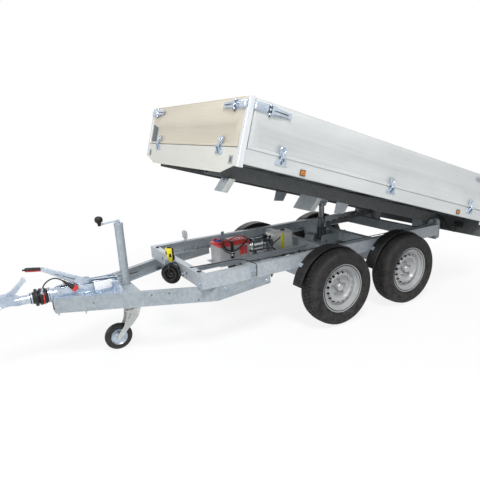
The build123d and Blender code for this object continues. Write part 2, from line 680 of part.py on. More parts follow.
def board_fittings(name):
    """The latches and the moving hinge halves of a board, placed on it."""
    length, place = BOARDS[name]
    pieces = [hinge_leaf(x) for x in hinge_stations(name)]
    pieces += [latch(length, BOARD_H, end) for end in (-1, 1)]
    return [tip(place * piece) for piece in pieces]


def hinge_bases():
    """The fixed halves of all hinges: a foot on the frame and two ears with the pin."""
    pieces = []
    for name, (length, place) in BOARDS.items():
        for x in hinge_stations(name):
            z = -BOARD_GAP / 2
            pin = rod((x - 24, HINGE_OFFSET, z), (x + 24, HINGE_OFFSET, z), 4)
            foot = block(x - 24, x + 24, 0.2, 5, -46, -BOARD_GAP)
            base = foot + pin
            for s in (-1, 1):
                ear = x + s * 16
                base += rod((ear - 4, HINGE_OFFSET, z), (ear + 4, HINGE_OFFSET, z), EAR_R)
                base += block(ear - 4, ear + 4, 0.2, HINGE_OFFSET, z - 14, -BOARD_GAP)
            pieces.append(tip(place * base))
    return pieces


def side_frames():
    """The outer frame profiles of the bed, one along each side."""
    y1 = BED_W / 2
    bar = block(bx(POST_W), bx(BED_L - POST_W), y1 - SIDE_T, y1, bz(SIDE_DROP), bz(BOARD_DROP))
    groove = block(bx(POST_W), bx(BED_L - POST_W), y1 - SIDE_T, y1 - 4, bz(SIDE_DROP), bz(BOARD_DROP + 30))
    lip = block(bx(POST_W), bx(BED_L - POST_W), y1 - SIDE_T, y1 - SIDE_T + 5, bz(SIDE_DROP), bz(BOARD_DROP))
    return [tip(piece) for piece in both(bar - groove + lip)]


def corner_posts():
    """Four square posts at the bed's corners, with their outer edge rounded."""
    pieces = []
    for x in (bx(POST_W / 2), bx(BED_L - POST_W / 2)):
        post = Pos(x, BED_W / 2 - POST_W / 2, 0) * extrude(RectangleRounded(POST_W, POST_W, 4), POST_DROP + 5)
        pieces += [tip(piece) for piece in both(Pos(0, 0, bz(POST_DROP)) * post)]
    return pieces


LOCKER = 46.0


def front_panel():
    """The apron below the headboard, with cut-off lower corners and two square pockets."""
    half = BED_W / 2 - POST_W
    low = bz(PANEL_DROP)
    outline = [(-half, bz(BOARD_DROP)), (half, bz(BOARD_DROP)), (half, low + CHAMFER_H),
               (half - CHAMFER_W + POST_W, low), (-half + CHAMFER_W - POST_W, low), (-half, low + CHAMFER_H)]
    panel = plate_yz(outline, bx(PANEL_T), bx(0))
    for side in (-1, 1):
        y = side * (half - 55)
        panel -= block(bx(PANEL_T + 1), bx(-1), y - LOCKER / 2, y + LOCKER / 2, bz(398), bz(398 - LOCKER))
    inner = BED_W / 2 - SIDE_T - 0.3
    ledge = block(bx(SIDE_T), bx(PANEL_T), -inner, inner, bz(FLOOR_DROP + FLOOR_T), bz(BOARD_DROP))
    return tip(panel + ledge)


LIGHT_BAR_BACK = BED_L - 44.0
LIGHT_BAR_DROP = 524.0
LIGHT_BAR_NECK = POST_DROP + 7.0
LIGHT_BAR_OUT = BED_W / 2 - 8.0


def rear_sill():
    """The sill across the back of the bed and the lamp bar that hangs from it."""
    half = BED_W / 2 - POST_W
    sill = block(bx(BED_L), bx(BED_L - POST_W + 0.3), -half, half, bz(SIDE_DROP), bz(BOARD_DROP))
    neck = half - 10
    right = [(neck, bz(SIDE_DROP)), (neck, bz(LIGHT_BAR_NECK)), (LIGHT_BAR_OUT, bz(LIGHT_BAR_NECK)),
             (LIGHT_BAR_OUT, bz(LIGHT_BAR_DROP))]
    left = [(-y, z) for y, z in reversed(right)]
    bar = plate_yz(right + left, bx(LIGHT_BAR_BACK + 14), bx(LIGHT_BAR_BACK + 10))
    return tip(sill + bar)


def tail_lamps():
    """Oblong rear lamps on the lamp bar."""
    x1 = bx(LIGHT_BAR_BACK + 14.2)
    lamp = block(x1 - 34, x1, 470, 700, bz(490), bz(400))
    return [tip(piece) for piece in both(lamp)]


def bed_floor():
    """The flat floor plate between the side frames."""
    y = BED_W / 2 - SIDE_T - 0.3
    return tip(block(bx(BED_L - POST_W - 0.3), bx(SIDE_T + 0.3), -y, y, bz(FLOOR_DROP + FLOOR_T), bz(FLOOR_DROP)))


SUB_REAR = 2400.0


def sub_beams():
    """The two long box beams under the floor, each with its pivot lug."""
    y0 = SUB_IN
    y1 = SUB_IN + SUB_W
    beam = block(bx(SUB_REAR), bx(PANEL_T + 0.3), y0, y1, bz(SUB_DROP), bz(SIDE_DROP))
    hollow = block(bx(SUB_REAR), bx(PANEL_T + 0.3), y0 + SUB_WALL, y1 - SUB_WALL,
                   bz(SUB_DROP - SUB_WALL), bz(SIDE_DROP + SUB_WALL))
    lug = rod((PIVOT_X, y0, PIVOT_Z), (PIVOT_X, y1, PIVOT_Z), LUG_R - 4)
    lug += block(PIVOT_X - LUG_R + 4, PIVOT_X + LUG_R - 4, y0, y1, PIVOT_Z, PIVOT_Z + 30)
    bore = rod((PIVOT_X, y0 - 1, PIVOT_Z), (PIVOT_X, y1 + 1, PIVOT_Z), PIVOT_PIN_R + 0.4)
    return [tip(piece) for piece in both(beam - hollow + lug - bore)]


CROSS_BACKS = (155.0, 600.0, 1050.0, 1500.0, 1950.0, 2345.0)
CROSS_T = 50.0


def bed_cross_beams():
    """Channels across the bed between the side frames, on top of the long beams."""
    y = BED_W / 2 - SIDE_T - 0.3
    pieces = []
    for back in CROSS_BACKS:
        solid = block(bx(back + CROSS_T), bx(back), -y, y, bz(SIDE_DROP - 0.2), bz(FLOOR_DROP + FLOOR_T + 0.2))
        hollow = block(bx(back + CROSS_T), bx(back + 4), -y, y, bz(SIDE_DROP - 4.2),
                       bz(FLOOR_DROP + FLOOR_T + 4.2))
        pieces.append(tip(solid - hollow))
    return pieces


def guide(back, width, top_out, slant, top_drop, depth, foot=46.0):
    """A slanted channel piece under the bed that centres it between the rails."""
    z0 = bz(SUB_DROP + depth)
    z1 = bz(top_drop + 0.2)
    rise = z1 - z0
    shift = slant * rise
    web = plate_yz([(top_out, z1), (top_out - shift, z0), (top_out - shift - width, z0), (top_out - width, z1)],
                   bx(back + 4), bx(back))
    flange = plate_yz([(top_out, z1), (top_out - shift, z0), (top_out - shift - 5, z0), (top_out - 5, z1)],
                      bx(back + foot), bx(back))
    return web + flange


GUIDES = [(155.0, 118.0, 479.0, 0.8, SUB_DROP, 100.0), (1050.0, 235.0, SUB_IN - 1, 0.55, SIDE_DROP, 118.0)]


GUSSET_BACK = (1170.0, 1300.0)
GUSSET_DEPTH = 95.0


def gusset():
    """A plate that stiffens the left long beam behind the second guide."""
    y0 = SUB_IN + SUB_W - 12
    front, rear = GUSSET_BACK
    top = bz(SUB_DROP + 0.2)
    return plate_xz([(bx(front), top), (bx(front), top - GUSSET_DEPTH), (bx(rear - 25), top - GUSSET_DEPTH + 15),
                     (bx(rear), top)], y0, y0 + 6)


def bed_guides():
    """The two centring guides under the left side of the bed, and the gussets of both beams."""
    return [tip(guide(*row)) for row in GUIDES] + [tip(plate) for plate in both(gusset())]


LAMP_BACKS = (483.0, 2186.0)


def marker_lamps():
    """Amber marker lamps on the side frames."""
    pieces = []
    for back in LAMP_BACKS:
        lamp = block(bx(back + 22), bx(back - 22), BED_W / 2 + 0.2, BED_W / 2 + 10, bz(376), bz(336))
        pieces += [tip(piece) for piece in both(lamp)]
    return pieces


# Lifting cylinder


def head_at(tilt):
    """Where the cylinder's head pin is at a tilt of the bed."""
    dx = CYL_HEAD[0] - PIVOT_X
    dz = CYL_HEAD[1] - PIVOT_Z
    a = math.radians(tilt)
    return PIVOT_X + dx * math.cos(a) - dz * math.sin(a), PIVOT_Z + dx * math.sin(a) + dz * math.cos(a)


def reach_at(tilt):
    """How far the head pin is from the trunnion, and the lean of that line in degrees."""
    x, z = head_at(tilt)
    return math.hypot(x - CYL_X, z - CYL_Z), math.degrees(math.atan2(z - CYL_Z, x - CYL_X))


REST_REACH, REST_LEAN = reach_at(REST_TILT)
LOW_REACH, LOW_LEAN = reach_at(0)
TOP_REACH, TOP_LEAN = reach_at(MAX_TILT)
STROKE = TOP_REACH - LOW_REACH
STAGE_OUT = (REST_REACH - LOW_REACH) / 3
BARREL_ABOVE = 26.0
STAGE_STEP = 10.0
EYE_HALF = 24.0


def along(distance):
    """A point on the cylinder's line, measured up from its trunnion."""
    a = math.radians(REST_LEAN)
    return CYL_X + distance * math.cos(a), 0, CYL_Z + distance * math.sin(a)


def barrel():
    """The outer tube of the telescopic cylinder, with its trunnion pins."""
    solid = rod(along(-BARREL_BELOW), along(BARREL_ABOVE), BARREL_R)
    solid -= rod(along(-BARREL_BELOW + 12), along(BARREL_ABOVE + 1), STAGE_R[0] + 0.5)
    pins = rod((CYL_X, BARREL_R - 6, CYL_Z), (CYL_X, BARREL_R + 26, CYL_Z), 14)
    return solid + pins + flip(pins)


def stage(index):
    """One stage of the cylinder: a tube, and for the last a rod with its eye."""
    lift = STAGE_OUT * (index + 1)
    bottom = -BARREL_BELOW + 14 + STAGE_STEP * index + lift
    top = BARREL_ABOVE + 6 * (index + 1) + lift
    solid = rod(along(bottom), along(top), STAGE_R[index])
    if index < 2:
        solid -= rod(along(bottom + 6), along(top + 1), STAGE_R[index + 1] + 0.5)
        return solid
    a = along(REST_REACH)
    solid = rod(along(bottom), along(REST_REACH - 16), STAGE_R[index])
    eye = rod((a[0], -EYE_HALF, a[2]), (a[0], EYE_HALF, a[2]), 22)
    return solid + eye


def cradle():
    """The bracket on the chassis that carries the cylinder's trunnion pins."""
    y0 = BARREL_R + 6
    member_x = CROSS_STATIONS[1] + CROSS_W
    cheek = plate_xz([(member_x + 0.2, RAIL_BOTTOM), (CYL_X + 46, RAIL_BOTTOM - 30), (CYL_X + 50, CYL_Z + 20),
                      (CYL_X + 30, CYL_Z + 62), (member_x + 0.2, CYL_Z + 62)], y0, y0 + 10)
    cheek -= rod((CYL_X, y0 - 1, CYL_Z), (CYL_X, y0 + 11, CYL_Z), 14.4)
    foot = block(member_x - 1, member_x + 6, y0, y0 + 60, RAIL_BOTTOM, RAIL_TOP - CROSS_DROP)
    return cheek + foot


def head_bracket():
    """Ears under the bed on either side of the cylinder's head, with their pin bosses."""
    x, z = CYL_HEAD
    top = bz(SIDE_DROP + 0.2)
    y0 = EYE_HALF + 5
    cheek = plate_xz([(x - 60, top), (x + 60, top), (x + 22, z - 16), (x - 22, z - 16)], y0, y0 + 8)
    boss = rod((x, y0 + 8, z), (x, y0 + 20, z), 15)
    cross = block(x - 70, x + 70, -SUB_IN + 0.2, SUB_IN - 0.2, top - 6, top)
    side = cheek + boss
    return tip(side + flip(side) + cross)


# Equipment in the chassis

TRAY_Z = RAIL_BOTTOM + 8.0
TRAY_X0 = 388.0
TRAY_X1 = 1140.0
BATTERY = (856.0, 1122.0, -52.0, 122.0, TRAY_Z, TRAY_Z + 172)
TANK = (396.0, 610.0, -30.0, 88.0, TRAY_Z, TRAY_Z + 168)


TRAY_Y0 = -100.0
TRAY_Y1 = 150.0
STRIP_Y = 300.0
STRIP_W = 34.0
TIE_X = (TRAY_X0 + 32.0, TRAY_X1 - 160.0)


def equipment_tray():
    """A shallow tray and its long angle strip, across the cross members."""
    leg = STRIP_Y - STRIP_W
    x0 = TRAY_X0 + 8
    x1 = CHASSIS_FRONT - CROSS_W
    tray = block(TRAY_X0, TRAY_X1, TRAY_Y0, TRAY_Y1, TRAY_Z - 4, TRAY_Z)
    tray += block(x0, x1, leg, STRIP_Y, RAIL_TOP - 10, RAIL_TOP - 5)
    tray += block(x0, x1, leg, leg + 4, RAIL_TOP - 46, RAIL_TOP - 5)
    for x in TIE_X:
        tray += block(x, x + STRIP_W, TRAY_Y1, leg + 4, TRAY_Z - 4, TRAY_Z)
        tray += block(x, x + STRIP_W, leg, leg + 4, TRAY_Z - 4, RAIL_TOP - 40)
    return tray


def battery():
    """The starter battery, with its lid step and two posts."""
    x0, x1, y0, y1, z0, z1 = BATTERY
    solid = block(x0, x1, y0, y1, z0 + 0.2, z1 - 28) + block(x0 - 3, x1 + 3, y0 - 3, y1 + 3, z1 - 28, z1)
    for y in (y0 + 30, y1 - 30):
        solid += rod((x1 - 28, y, z1), (x1 - 28, y, z1 + 14), 9)
    return solid


PUMP_Z = TRAY_Z + 104.0
PUMP_Y = 72.0
MOTOR_R = 56.0
MOTOR_X0 = 700.0
MOTOR_X1 = 846.0


def hydraulic_pump():
    """The electric pump: a round motor, its valve block and a foot."""
    motor = rod((MOTOR_X0, PUMP_Y, PUMP_Z), (MOTOR_X1, PUMP_Y, PUMP_Z), MOTOR_R)
    motor += rod((MOTOR_X1, PUMP_Y, PUMP_Z), (MOTOR_X1 + 7, PUMP_Y, PUMP_Z), MOTOR_R - 16)
    valve = block(TANK[1] + 14, MOTOR_X0, PUMP_Y - 50, PUMP_Y + 50, PUMP_Z - 50, PUMP_Z + 44)
    foot = block(MOTOR_X0 - 40, MOTOR_X1 - 46, PUMP_Y - 40, PUMP_Y + 40, TRAY_Z + 0.2, PUMP_Z - 40)
    neck = rod((TANK[1] + 0.2, PUMP_Y - 32, PUMP_Z), (TANK[1] + 14, PUMP_Y - 32, PUMP_Z), 28)
    return motor + valve + foot + neck


def oil_tank():
    """The pale plastic oil tank with its filler cap."""
    x0, x1, y0, y1, z0, z1 = TANK
    body = block(x0, x1, y0, y1, z0 + 0.2, z1)
    body = fillet(body.edges().filter_by(Axis.Z), 18)
    return body + rod((x0 + 60, y0 + 40, z1), (x0 + 60, y0 + 40, z1 + 8), 20)


REMOTE = (1500.0, 15.0)


def remote_holder():
    """The folded holder for the hand remote on the front member."""
    x, y = REMOTE
    back = block(CHASSIS_FRONT + 0.2, CHASSIS_FRONT + 4, y - 34, y + 34, RAIL_BOTTOM + 6, RAIL_TOP + 44)
    cup = block(CHASSIS_FRONT + 0.2, x + 26, y - 34, y + 34, RAIL_TOP - 16, RAIL_TOP - 12)
    lip = block(x + 22, x + 26, y - 34, y + 34, RAIL_TOP - 58, RAIL_TOP + 28)
    return back + cup + lip


def remote():
    """The hand remote standing in its holder, with its push button."""
    x, y = REMOTE
    x0 = CHASSIS_FRONT + 4.3
    case = block(x0, x + 21.5, y - 28, y + 28, RAIL_TOP - 11.7, RAIL_TOP + 98)
    button = rod(((x0 + x + 21) / 2, y, RAIL_TOP + 98), ((x0 + x + 21) / 2, y, RAIL_TOP + 106), 13)
    return case + button


COIL = (CHASSIS_FRONT + 71.0, 126.0, RAIL_TOP - 69.0)
COIL_R = 46.0
COIL_WIRE_R = 36.0


def remote_coil():
    """The wound curly lead of the remote, as one closed ring under the holder."""
    return Pos(*COIL) * Rot(0, 0, 45) * Rot(0, 90, 0) * Torus(COIL_R, COIL_WIRE_R)


def reflector_post():
    """A round-topped position lamp on the right rail."""
    x = 1157.0
    y = -RAIL_OUT + 25
    foot = block(x - 6, x + 6, y - 14, y + 14, RAIL_TOP + 0.2, RAIL_TOP + 14)
    lens = block(x - 12, x + 12, y - 42, y + 42, RAIL_TOP + 14, RAIL_TOP + 92)
    lens = fillet(lens.edges().filter_by(Axis.X), 22)
    return foot + lens


CLIP_X = 1040.0
CLIP_W = 52.0


def rail_clips():
    """Folded clips over the left rail that hold the wiring."""
    y1 = RAIL_OUT
    clip = block(CLIP_X, CLIP_X + CLIP_W, y1 + 0.2, y1 + 3, RAIL_BOTTOM + 14, RAIL_TOP + 3)
    clip += block(CLIP_X, CLIP_X + CLIP_W, RAIL_OUT - RAIL_FLANGE - 30, y1 + 3, RAIL_TOP + 0.2, RAIL_TOP + 3)
    return clip


PROP_Y = -150.0
PROP_T = 10.0
PROP_FRONT = (-165.0, 603.0)
PROP_REAR = (-775.0, 652.0)
PROP_H = 42.0
PROP_NOTCHES = 6
PROP_PITCH = 78.0


def safety_prop():
    """The notched service prop, folded down between the cross members on its pivot block."""
    fx, fz = PROP_FRONT
    rx, rz = PROP_REAR
    length = math.hypot(rx - fx, rz - fz)
    lean = math.degrees(math.atan2(rz - fz, fx - rx))
    bar = block(-length, 0, -PROP_T / 2, PROP_T / 2, -PROP_H / 2, PROP_H / 2)
    for i in range(PROP_NOTCHES):
        x = -62 - PROP_PITCH * i
        bar -= rod((x, -PROP_T, PROP_H / 2 + 7), (x, PROP_T, PROP_H / 2 + 7), 22)
    bar = Pos(fx, PROP_Y, fz) * Rot(0, lean, 0) * bar
    seat = RAIL_TOP - CROSS_DROP + 0.2
    foot = block(CROSS_STATIONS[1] + 4, CROSS_STATIONS[1] + 40, PROP_Y + PROP_T / 2, PROP_Y + 40, seat, fz + 16)
    rest = block(CROSS_STATIONS[2] + 8, CROSS_STATIONS[2] + 40, PROP_Y + PROP_T / 2, PROP_Y + 30, seat, rz + 8)
    return bar + foot + rest


def mudguard(x):
    """One moulded mudguard: an arc over the inner half of the tyre, further off it in front."""
    steps = 12
    ahead, up = GUARD_SHIFT
    inner = []
    outer = []
    for i in range(steps + 1):
        a, b = guard_section(GUARD_FRONT + (GUARD_BACK - GUARD_FRONT) * i / steps)
        inner.append((x + ahead + a[0], TYRE_R + up + a[1]))
        outer.append((x + ahead + b[0], TYRE_R + up + b[1]))
    return plate_xz(inner + outer[::-1], GUARD_IN, GUARD_OUT)


def mudguards():
    """Four mudguards, one for each wheel."""
    return [piece for x in (AXLE_SPREAD / 2, -AXLE_SPREAD / 2) for piece in both(mudguard(x))]


def build():
    """Every node of the trailer by name, with the origin between the wheel pair."""
    nodes = {
        "rails": both(rail()),
        "front_member": front_member() + rubber_stop() + flip(rubber_stop()),
        "cross_members": cross_members(), "rear_brackets": pivot_lugs() + end_brackets(),
        "drawbar_beams": both(drawbar_beam()), "overrun_housing": overrun_housing(), "bellows": bellows(),
        "coupling_head": coupling_head(), "handbrake": handbrake() + brake_grip(),
        "plug_lead": cord(LEAD_ROUTE, LEAD_R), "plug": plug(),
        "jockey_clamp": jockey_clamp(), "jockey_tube": jockey_tube(), "jockey_crank": jockey_crank(),
        "jockey_leg": jockey_leg(), "jockey_fork": jockey_fork(), "jockey_wheel": jockey_rim() + jockey_tyre(),
        "front_axle": axle(AXLE_SPREAD / 2), "rear_axle": axle(-AXLE_SPREAD / 2),
        "mudguards": mudguards(),
        "equipment_tray": [equipment_tray(), rail_clips()], "battery": battery(), "hydraulic_pump": hydraulic_pump(),
        "oil_tank": oil_tank(), "remote_holder": remote_holder(), "remote": remote(),
        "remote_coil": remote_coil(), "reflector_post": reflector_post(),
        "safety_prop": safety_prop(),
        "cylinder_barrel": barrel(), "cylinder_stage_1": stage(0),
        "cylinder_stage_2": stage(1), "cylinder_stage_3": stage(2),
        "side_frames": side_frames(), "corner_posts": corner_posts(), "front_panel": front_panel(),
        "rear_sill": rear_sill(), "bed_floor": bed_floor(),
        "sub_beams": sub_beams(), "bed_cross_beams": bed_cross_beams(), "bed_guides": bed_guides() + [head_bracket()],
        "bed_lamps": marker_lamps() + tail_lamps(), "hinge_bases": hinge_bases(),
    }
    for name, (length, place) in BOARDS.items():
        nodes[name] = tip(place * board(length, BOARD_H))
        nodes[name + "_fittings"] = board_fittings(name)
    for name, side, x in WHEELS:
        nodes["rim_" + name] = wheel_place(side, x) * wheel_rim()
        nodes["tyre_" + name] = wheel_place(side, x) * wheel_tyre()
    return nodes


def whole(item):
    """One compound from a solid or a list of solids."""
    pieces = item if isinstance(item, list) else [item]
    return Compound(children=[solid for piece in pieces for solid in piece.solids()])


NODES = {name: whole(item) for name, item in build().items()}
BOX = Compound(children=[copy.copy(node) for node in NODES.values()]).bounding_box()
ORIGIN_SHIFT = -(BOX.min.X + BOX.max.X) / 2

if __name__ == "__main__":
    os.makedirs("parts", exist_ok=True)
    for name, node in NODES.items():
        export_step(Pos(ORIGIN_SHIFT, 0, 0) * node, f"parts/{name}.step")
    print("nodes", len(NODES), "length", round(BOX.size.X), "width", round(BOX.size.Y), "height",
          round(BOX.size.Z), "shift", round(ORIGIN_SHIFT, 2), "low", round(BOX.min.Z, 2))
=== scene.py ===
"""Tandem-axle tipper trailer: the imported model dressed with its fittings, wiring and finishes.

Shapes are drawn in millimetres from the middle of the wheel pair, as on a workshop drawing, and are
moved into the model's frame in metres when a piece is finished. Bed pieces are drawn level and tipped.
"""

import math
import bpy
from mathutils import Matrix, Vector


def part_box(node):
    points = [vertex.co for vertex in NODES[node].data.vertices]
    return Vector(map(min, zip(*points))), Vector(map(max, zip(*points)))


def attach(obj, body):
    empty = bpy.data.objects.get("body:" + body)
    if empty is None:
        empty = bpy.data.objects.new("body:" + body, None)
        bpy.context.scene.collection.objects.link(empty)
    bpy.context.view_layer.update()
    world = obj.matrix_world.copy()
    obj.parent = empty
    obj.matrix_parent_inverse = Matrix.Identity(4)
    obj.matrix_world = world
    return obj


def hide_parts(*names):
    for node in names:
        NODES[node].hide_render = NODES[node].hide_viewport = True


bl_info = {
    "name": "Tipper Trailer",
    "version": (1, 0, 0),
    "blender": (4, 5, 0),
    "location": "View3D > Sidebar > Trailer",
    "description": "Dresses a tandem-axle tipper trailer and sets its stage",
    "category": "Object",
}

import bmesh
import bpy
from mathutils import Matrix, Vector

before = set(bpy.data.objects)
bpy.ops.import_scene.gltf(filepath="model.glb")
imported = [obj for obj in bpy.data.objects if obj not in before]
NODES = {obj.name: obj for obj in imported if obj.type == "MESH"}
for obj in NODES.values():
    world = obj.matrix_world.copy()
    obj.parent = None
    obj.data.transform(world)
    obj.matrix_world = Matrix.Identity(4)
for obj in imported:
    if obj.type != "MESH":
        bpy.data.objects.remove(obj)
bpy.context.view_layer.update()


def node_middle(name):
    """The middle of a solid of the model."""
    low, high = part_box(name)
    return [(a + b) / 2 for a, b in zip(low, high)]


AXLE_X = (node_middle("tyre_left_front")[0] + node_middle("tyre_left_rear")[0]) / 2

# Sizes of the drawing, in millimetres
TYRE_R = 305.0
RIM_R = 195.0
TYRE_HALF = 92.5
WHEEL_MID = 634.0
RAIL_OUT = 525.0
CHASSIS_FRONT = 1466.0
HITCH_Z = 505.0
JOCKEY_X = 1855.0
JOCKEY_Y = 42.0
JOCKEY_HUB_X = 1957.0
BED_L = 2640.0
BED_W = 1660.0
BED_FRONT = 1430.0
BOARD_TOP = 1086.0
BOARD_H = 295.0
POST_W = 40.0
POST_DROP = 411.0
PIVOT_X = -915.0
PIVOT_Z = 602.0
REST_TILT = 16.1
HINGE_BACKS = (301.0, 1320.0, 2339.0)
END_HINGES = (-560.0, 560.0)
WHEELS = (("left_front", 1, 375.0), ("right_front", -1, 375.0), ("left_rear", 1, -375.0),
          ("right_rear", -1, -375.0))

ORIGIN = (0, 0, 0)
AHEAD = (1, 0, 0)
LEFT = (0, 1, 0)
RIGHT = (0, -1, 0)
UP = (0, 0, 1)
DOWN = (0, 0, -1)

MM = Matrix.Scale(0.001, 4)
ROW = Matrix.Translation((AXLE_X, 0, 0)) @ MM
PIVOT = Matrix.Translation((PIVOT_X, 0, PIVOT_Z))
BED = ROW @ PIVOT @ Matrix.Rotation(math.radians(-REST_TILT), 4, "Y") @ PIVOT.inverted()


def bx(back):
    """The x of a point this far behind the bed's front."""
    return BED_FRONT - back


def bz(drop):
    """The z of a point this far below the top of the boards."""
    return BOARD_TOP - drop


def at(x, y, z):
    """A place moved by x, y and z."""
    return Matrix.Translation((x, y, z))


def turn(degrees, axis):
    """A place turned about one of the axes."""
    return Matrix.Rotation(math.radians(degrees), 4, axis)


SIDE_LEN = BED_L - 2 * POST_W - 12
END_LEN = BED_W - 2 * POST_W - 12
BOARD_Z = BOARD_TOP - BOARD_H
BOARDS = {"left_board": (SIDE_LEN, BED @ at(bx(BED_L / 2), BED_W / 2, BOARD_Z)),
          "right_board": (SIDE_LEN, BED @ at(bx(BED_L / 2), -BED_W / 2, BOARD_Z) @ turn(180, "Z")),
          "headboard": (END_LEN, BED @ at(BED_FRONT, 0, BOARD_Z) @ turn(-90, "Z")),
          "tailboard": (END_LEN, BED @ at(bx(BED_L), 0, BOARD_Z) @ turn(90, "Z"))}


# Shapes


def face_outward(part):
    """Turn every face of a closed shape outward."""
    bmesh.ops.recalc_face_normals(part, faces=part.faces)


def soften(part, width, segments=2, angle=0.5):
    """Bevels the sharp edges of a shape."""
    edges = [e for e in part.edges if e.calc_face_angle(0.0) > angle]
    bmesh.ops.bevel(part, geom=edges, offset=width, offset_type="OFFSET", affect="EDGES", segments=segments,
                    profile=0.5, clamp_overlap=True, material=-1)
    return part


def block(x0, x1, y0, y1, z0, z1, edge=0.0):
    """A box between two corners, its edges bevelled by edge."""
    part = bmesh.new()
    size = Matrix.Diagonal((abs(x1 - x0), abs(y1 - y0), abs(z1 - z0), 1))
    bmesh.ops.create_cube(part, size=1, matrix=at((x0 + x1) / 2, (y0 + y1) / 2, (z0 + z1) / 2) @ size)
    return soften(part, edge) if edge else part


def rod(start, end, radius, steps=24, end_radius=None, edge=0.0):
    """A round bar, or a cone, between two points."""
    a, b = Vector(start), Vector(end)
    part = bmesh.new()
    aim = (b - a).to_track_quat("Z", "Y").to_matrix().to_4x4()
    bmesh.ops.create_cone(part, cap_ends=True, segments=steps, radius1=radius,
                          radius2=radius if end_radius is None else end_radius, depth=(b - a).length,
                          matrix=Matrix.Translation((a + b) / 2) @ aim)
    return soften(part, edge, angle=1.0) if edge else part


def ball(centre, radius, squeeze=(1, 1, 1)):
    part = bmesh.new()
    bmesh.ops.create_uvsphere(part, u_segments=20, v_segments=12, radius=radius,
                              matrix=Matrix.Translation(centre) @ Matrix.Diagonal((*squeeze, 1)))
    return part


def lathe(profile, centre, axis, steps=64, closed=False):
    """A turned shape from (along, radius) points about an axis through centre."""
    part = bmesh.new()
    axis, centre = Vector(axis), Vector(centre)
    side = axis.orthogonal().normalized()
    verts = [part.verts.new(centre + axis * along + side * max(radius, 0.0)) for along, radius in profile]
    pairs = list(zip(verts, verts[1:])) + ([(verts[-1], verts[0])] if closed else [])
    edges = [part.edges.new(pair) for pair in pairs]
    bmesh.ops.spin(part, geom=verts + edges, cent=centre, axis=axis,
                   angle=math.tau, steps=steps, use_merge=True)
    bmesh.ops.remove_doubles(part, verts=part.verts, dist=0.01)
    face_outward(part)
    return part


def prism(points, depth, edge=0.0, segments=2):
    """A plate from a flat outline of points, as thick as the vector depth."""
    part = bmesh.new()
    face = part.faces.new([part.verts.new(p) for p in points])
    made = bmesh.ops.extrude_face_region(part, geom=[face])
    bmesh.ops.translate(part, vec=Vector(depth), verts=[v for v in made["geom"] if isinstance(v,
            bmesh.types.BMVert)])
    face_outward(part)
    return soften(part, edge, segments) if edge else part


def plate_xz(points, y0, y1, edge=0.0):
    return prism([(x, y0, z) for x, z in points], (0, y1 - y0, 0), edge)


def plate_yz(points, x0, x1, edge=0.0):
    return prism([(x0, y, z) for y, z in points], (x1 - x0, 0, 0), edge)


def line_of(name, points, radius, sides=4, steps=6):
    """A smooth round line through control points, as a curve's data."""
    curve = bpy.data.curves.new(name, "CURVE")
    curve.dimensions = "3D"
    curve.bevel_depth = radius
    curve.bevel_resolution = sides
    curve.resolution_u = steps
    curve.use_fill_caps = True
    spline = curve.splines.new("NURBS")
    spline.points.add(len(points) - 1)
    for target, point in zip(spline.points, points):
        target.co = (*point, 1)
    spline.order_u = 3
    spline.use_endpoint_u = True
    return curve


def bent_rod(points, radius, sides=3, steps=5):
    """A bent round bar as a shape."""
    curve = line_of("bend", points, radius, sides, steps)
    holder = bpy.data.objects.new("bend", curve)
    mesh = bpy.data.meshes.new_from_object(holder)
    part = bmesh.new()
    part.from_mesh(mesh)
    bmesh.ops.remove_doubles(part, verts=part.verts, dist=0.001)
    face_outward(part)
    bpy.data.objects.remove(holder)
    bpy.data.curves.remove(curve)
    bpy.data.meshes.remove(mesh)
    return part


def add(work, part, paint=0, places=(None,)):
    """Puts a shape into the piece being made, once for each place."""
    if paint is not None:
        for face in part.faces:
            face.material_index = paint
    mesh = bpy.data.meshes.new("part")
    part.to_mesh(mesh)
    part.free()
    for place in places:
        copy = mesh.copy()
        if place is not None:
            copy.transform(place)
            if place.determinant() < 0:
                copy.flip_normals()
        work.from_mesh(copy)
        bpy.data.meshes.remove(copy)
    bpy.data.meshes.remove(mesh)


FLIP = Matrix.Diagonal((1, -1, 1, 1))
BOTH = (None, FLIP)


def ring(count, centre, axis, first=0.0):
    """Places turned evenly round an axis through centre."""
    here = Matrix.Translation(centre)
    return [here @ Matrix.Rotation(math.radians(first) + math.tau * i / count, 4,
                                   Vector(axis)) @ here.inverted() for i in range(count)]


def finish(name, work, body, paints, place=ROW, smooth=35.0, hides=()):
    """Makes the piece an object in the model's frame, riding on its body."""
    bmesh.ops.transform(work, matrix=place, verts=work.verts)
    mesh = bpy.data.meshes.new(name)
    work.to_mesh(mesh)
    work.free()
    mesh.shade_smooth()
    mesh.set_sharp_from_angle(angle=math.radians(smooth))
    piece = bpy.data.objects.new(name, mesh)
    bpy.context.scene.collection.objects.link(piece)
    for paint in paints:
        mesh.materials.append(finish_of(paint))
    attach(piece, body)
    if hides:
        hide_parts(*hides)
    return piece


def bolt(head, length=9.0, size=13.0):
    """A hexagon head on its washer, at the origin with its shank towards -Z."""
    part = bmesh.new()
    across = size / 2 / math.cos(math.radians(30))
    bmesh.ops.create_cone(part, cap_ends=True, segments=6, radius1=across, radius2=across, depth=head,
                          matrix=at(0, 0, 2 + head / 2))
    soften(part, 0.8, 1)
    work = bmesh.new()
    add(work, part)
    add(work, rod(ORIGIN, (0, 0, 2), size * 0.95, 16))
    add(work, rod((0, 0, 2 + head), (0, 0, 2 + head + length), size * 0.28, 10, edge=0.6))
    return work


def facing(point, normal):
    """A place at a point whose Z looks along a direction."""
    aim = Vector(normal).to_track_quat("Z", "Y").to_matrix().to_4x4()
    return Matrix.Translation(point) @ aim


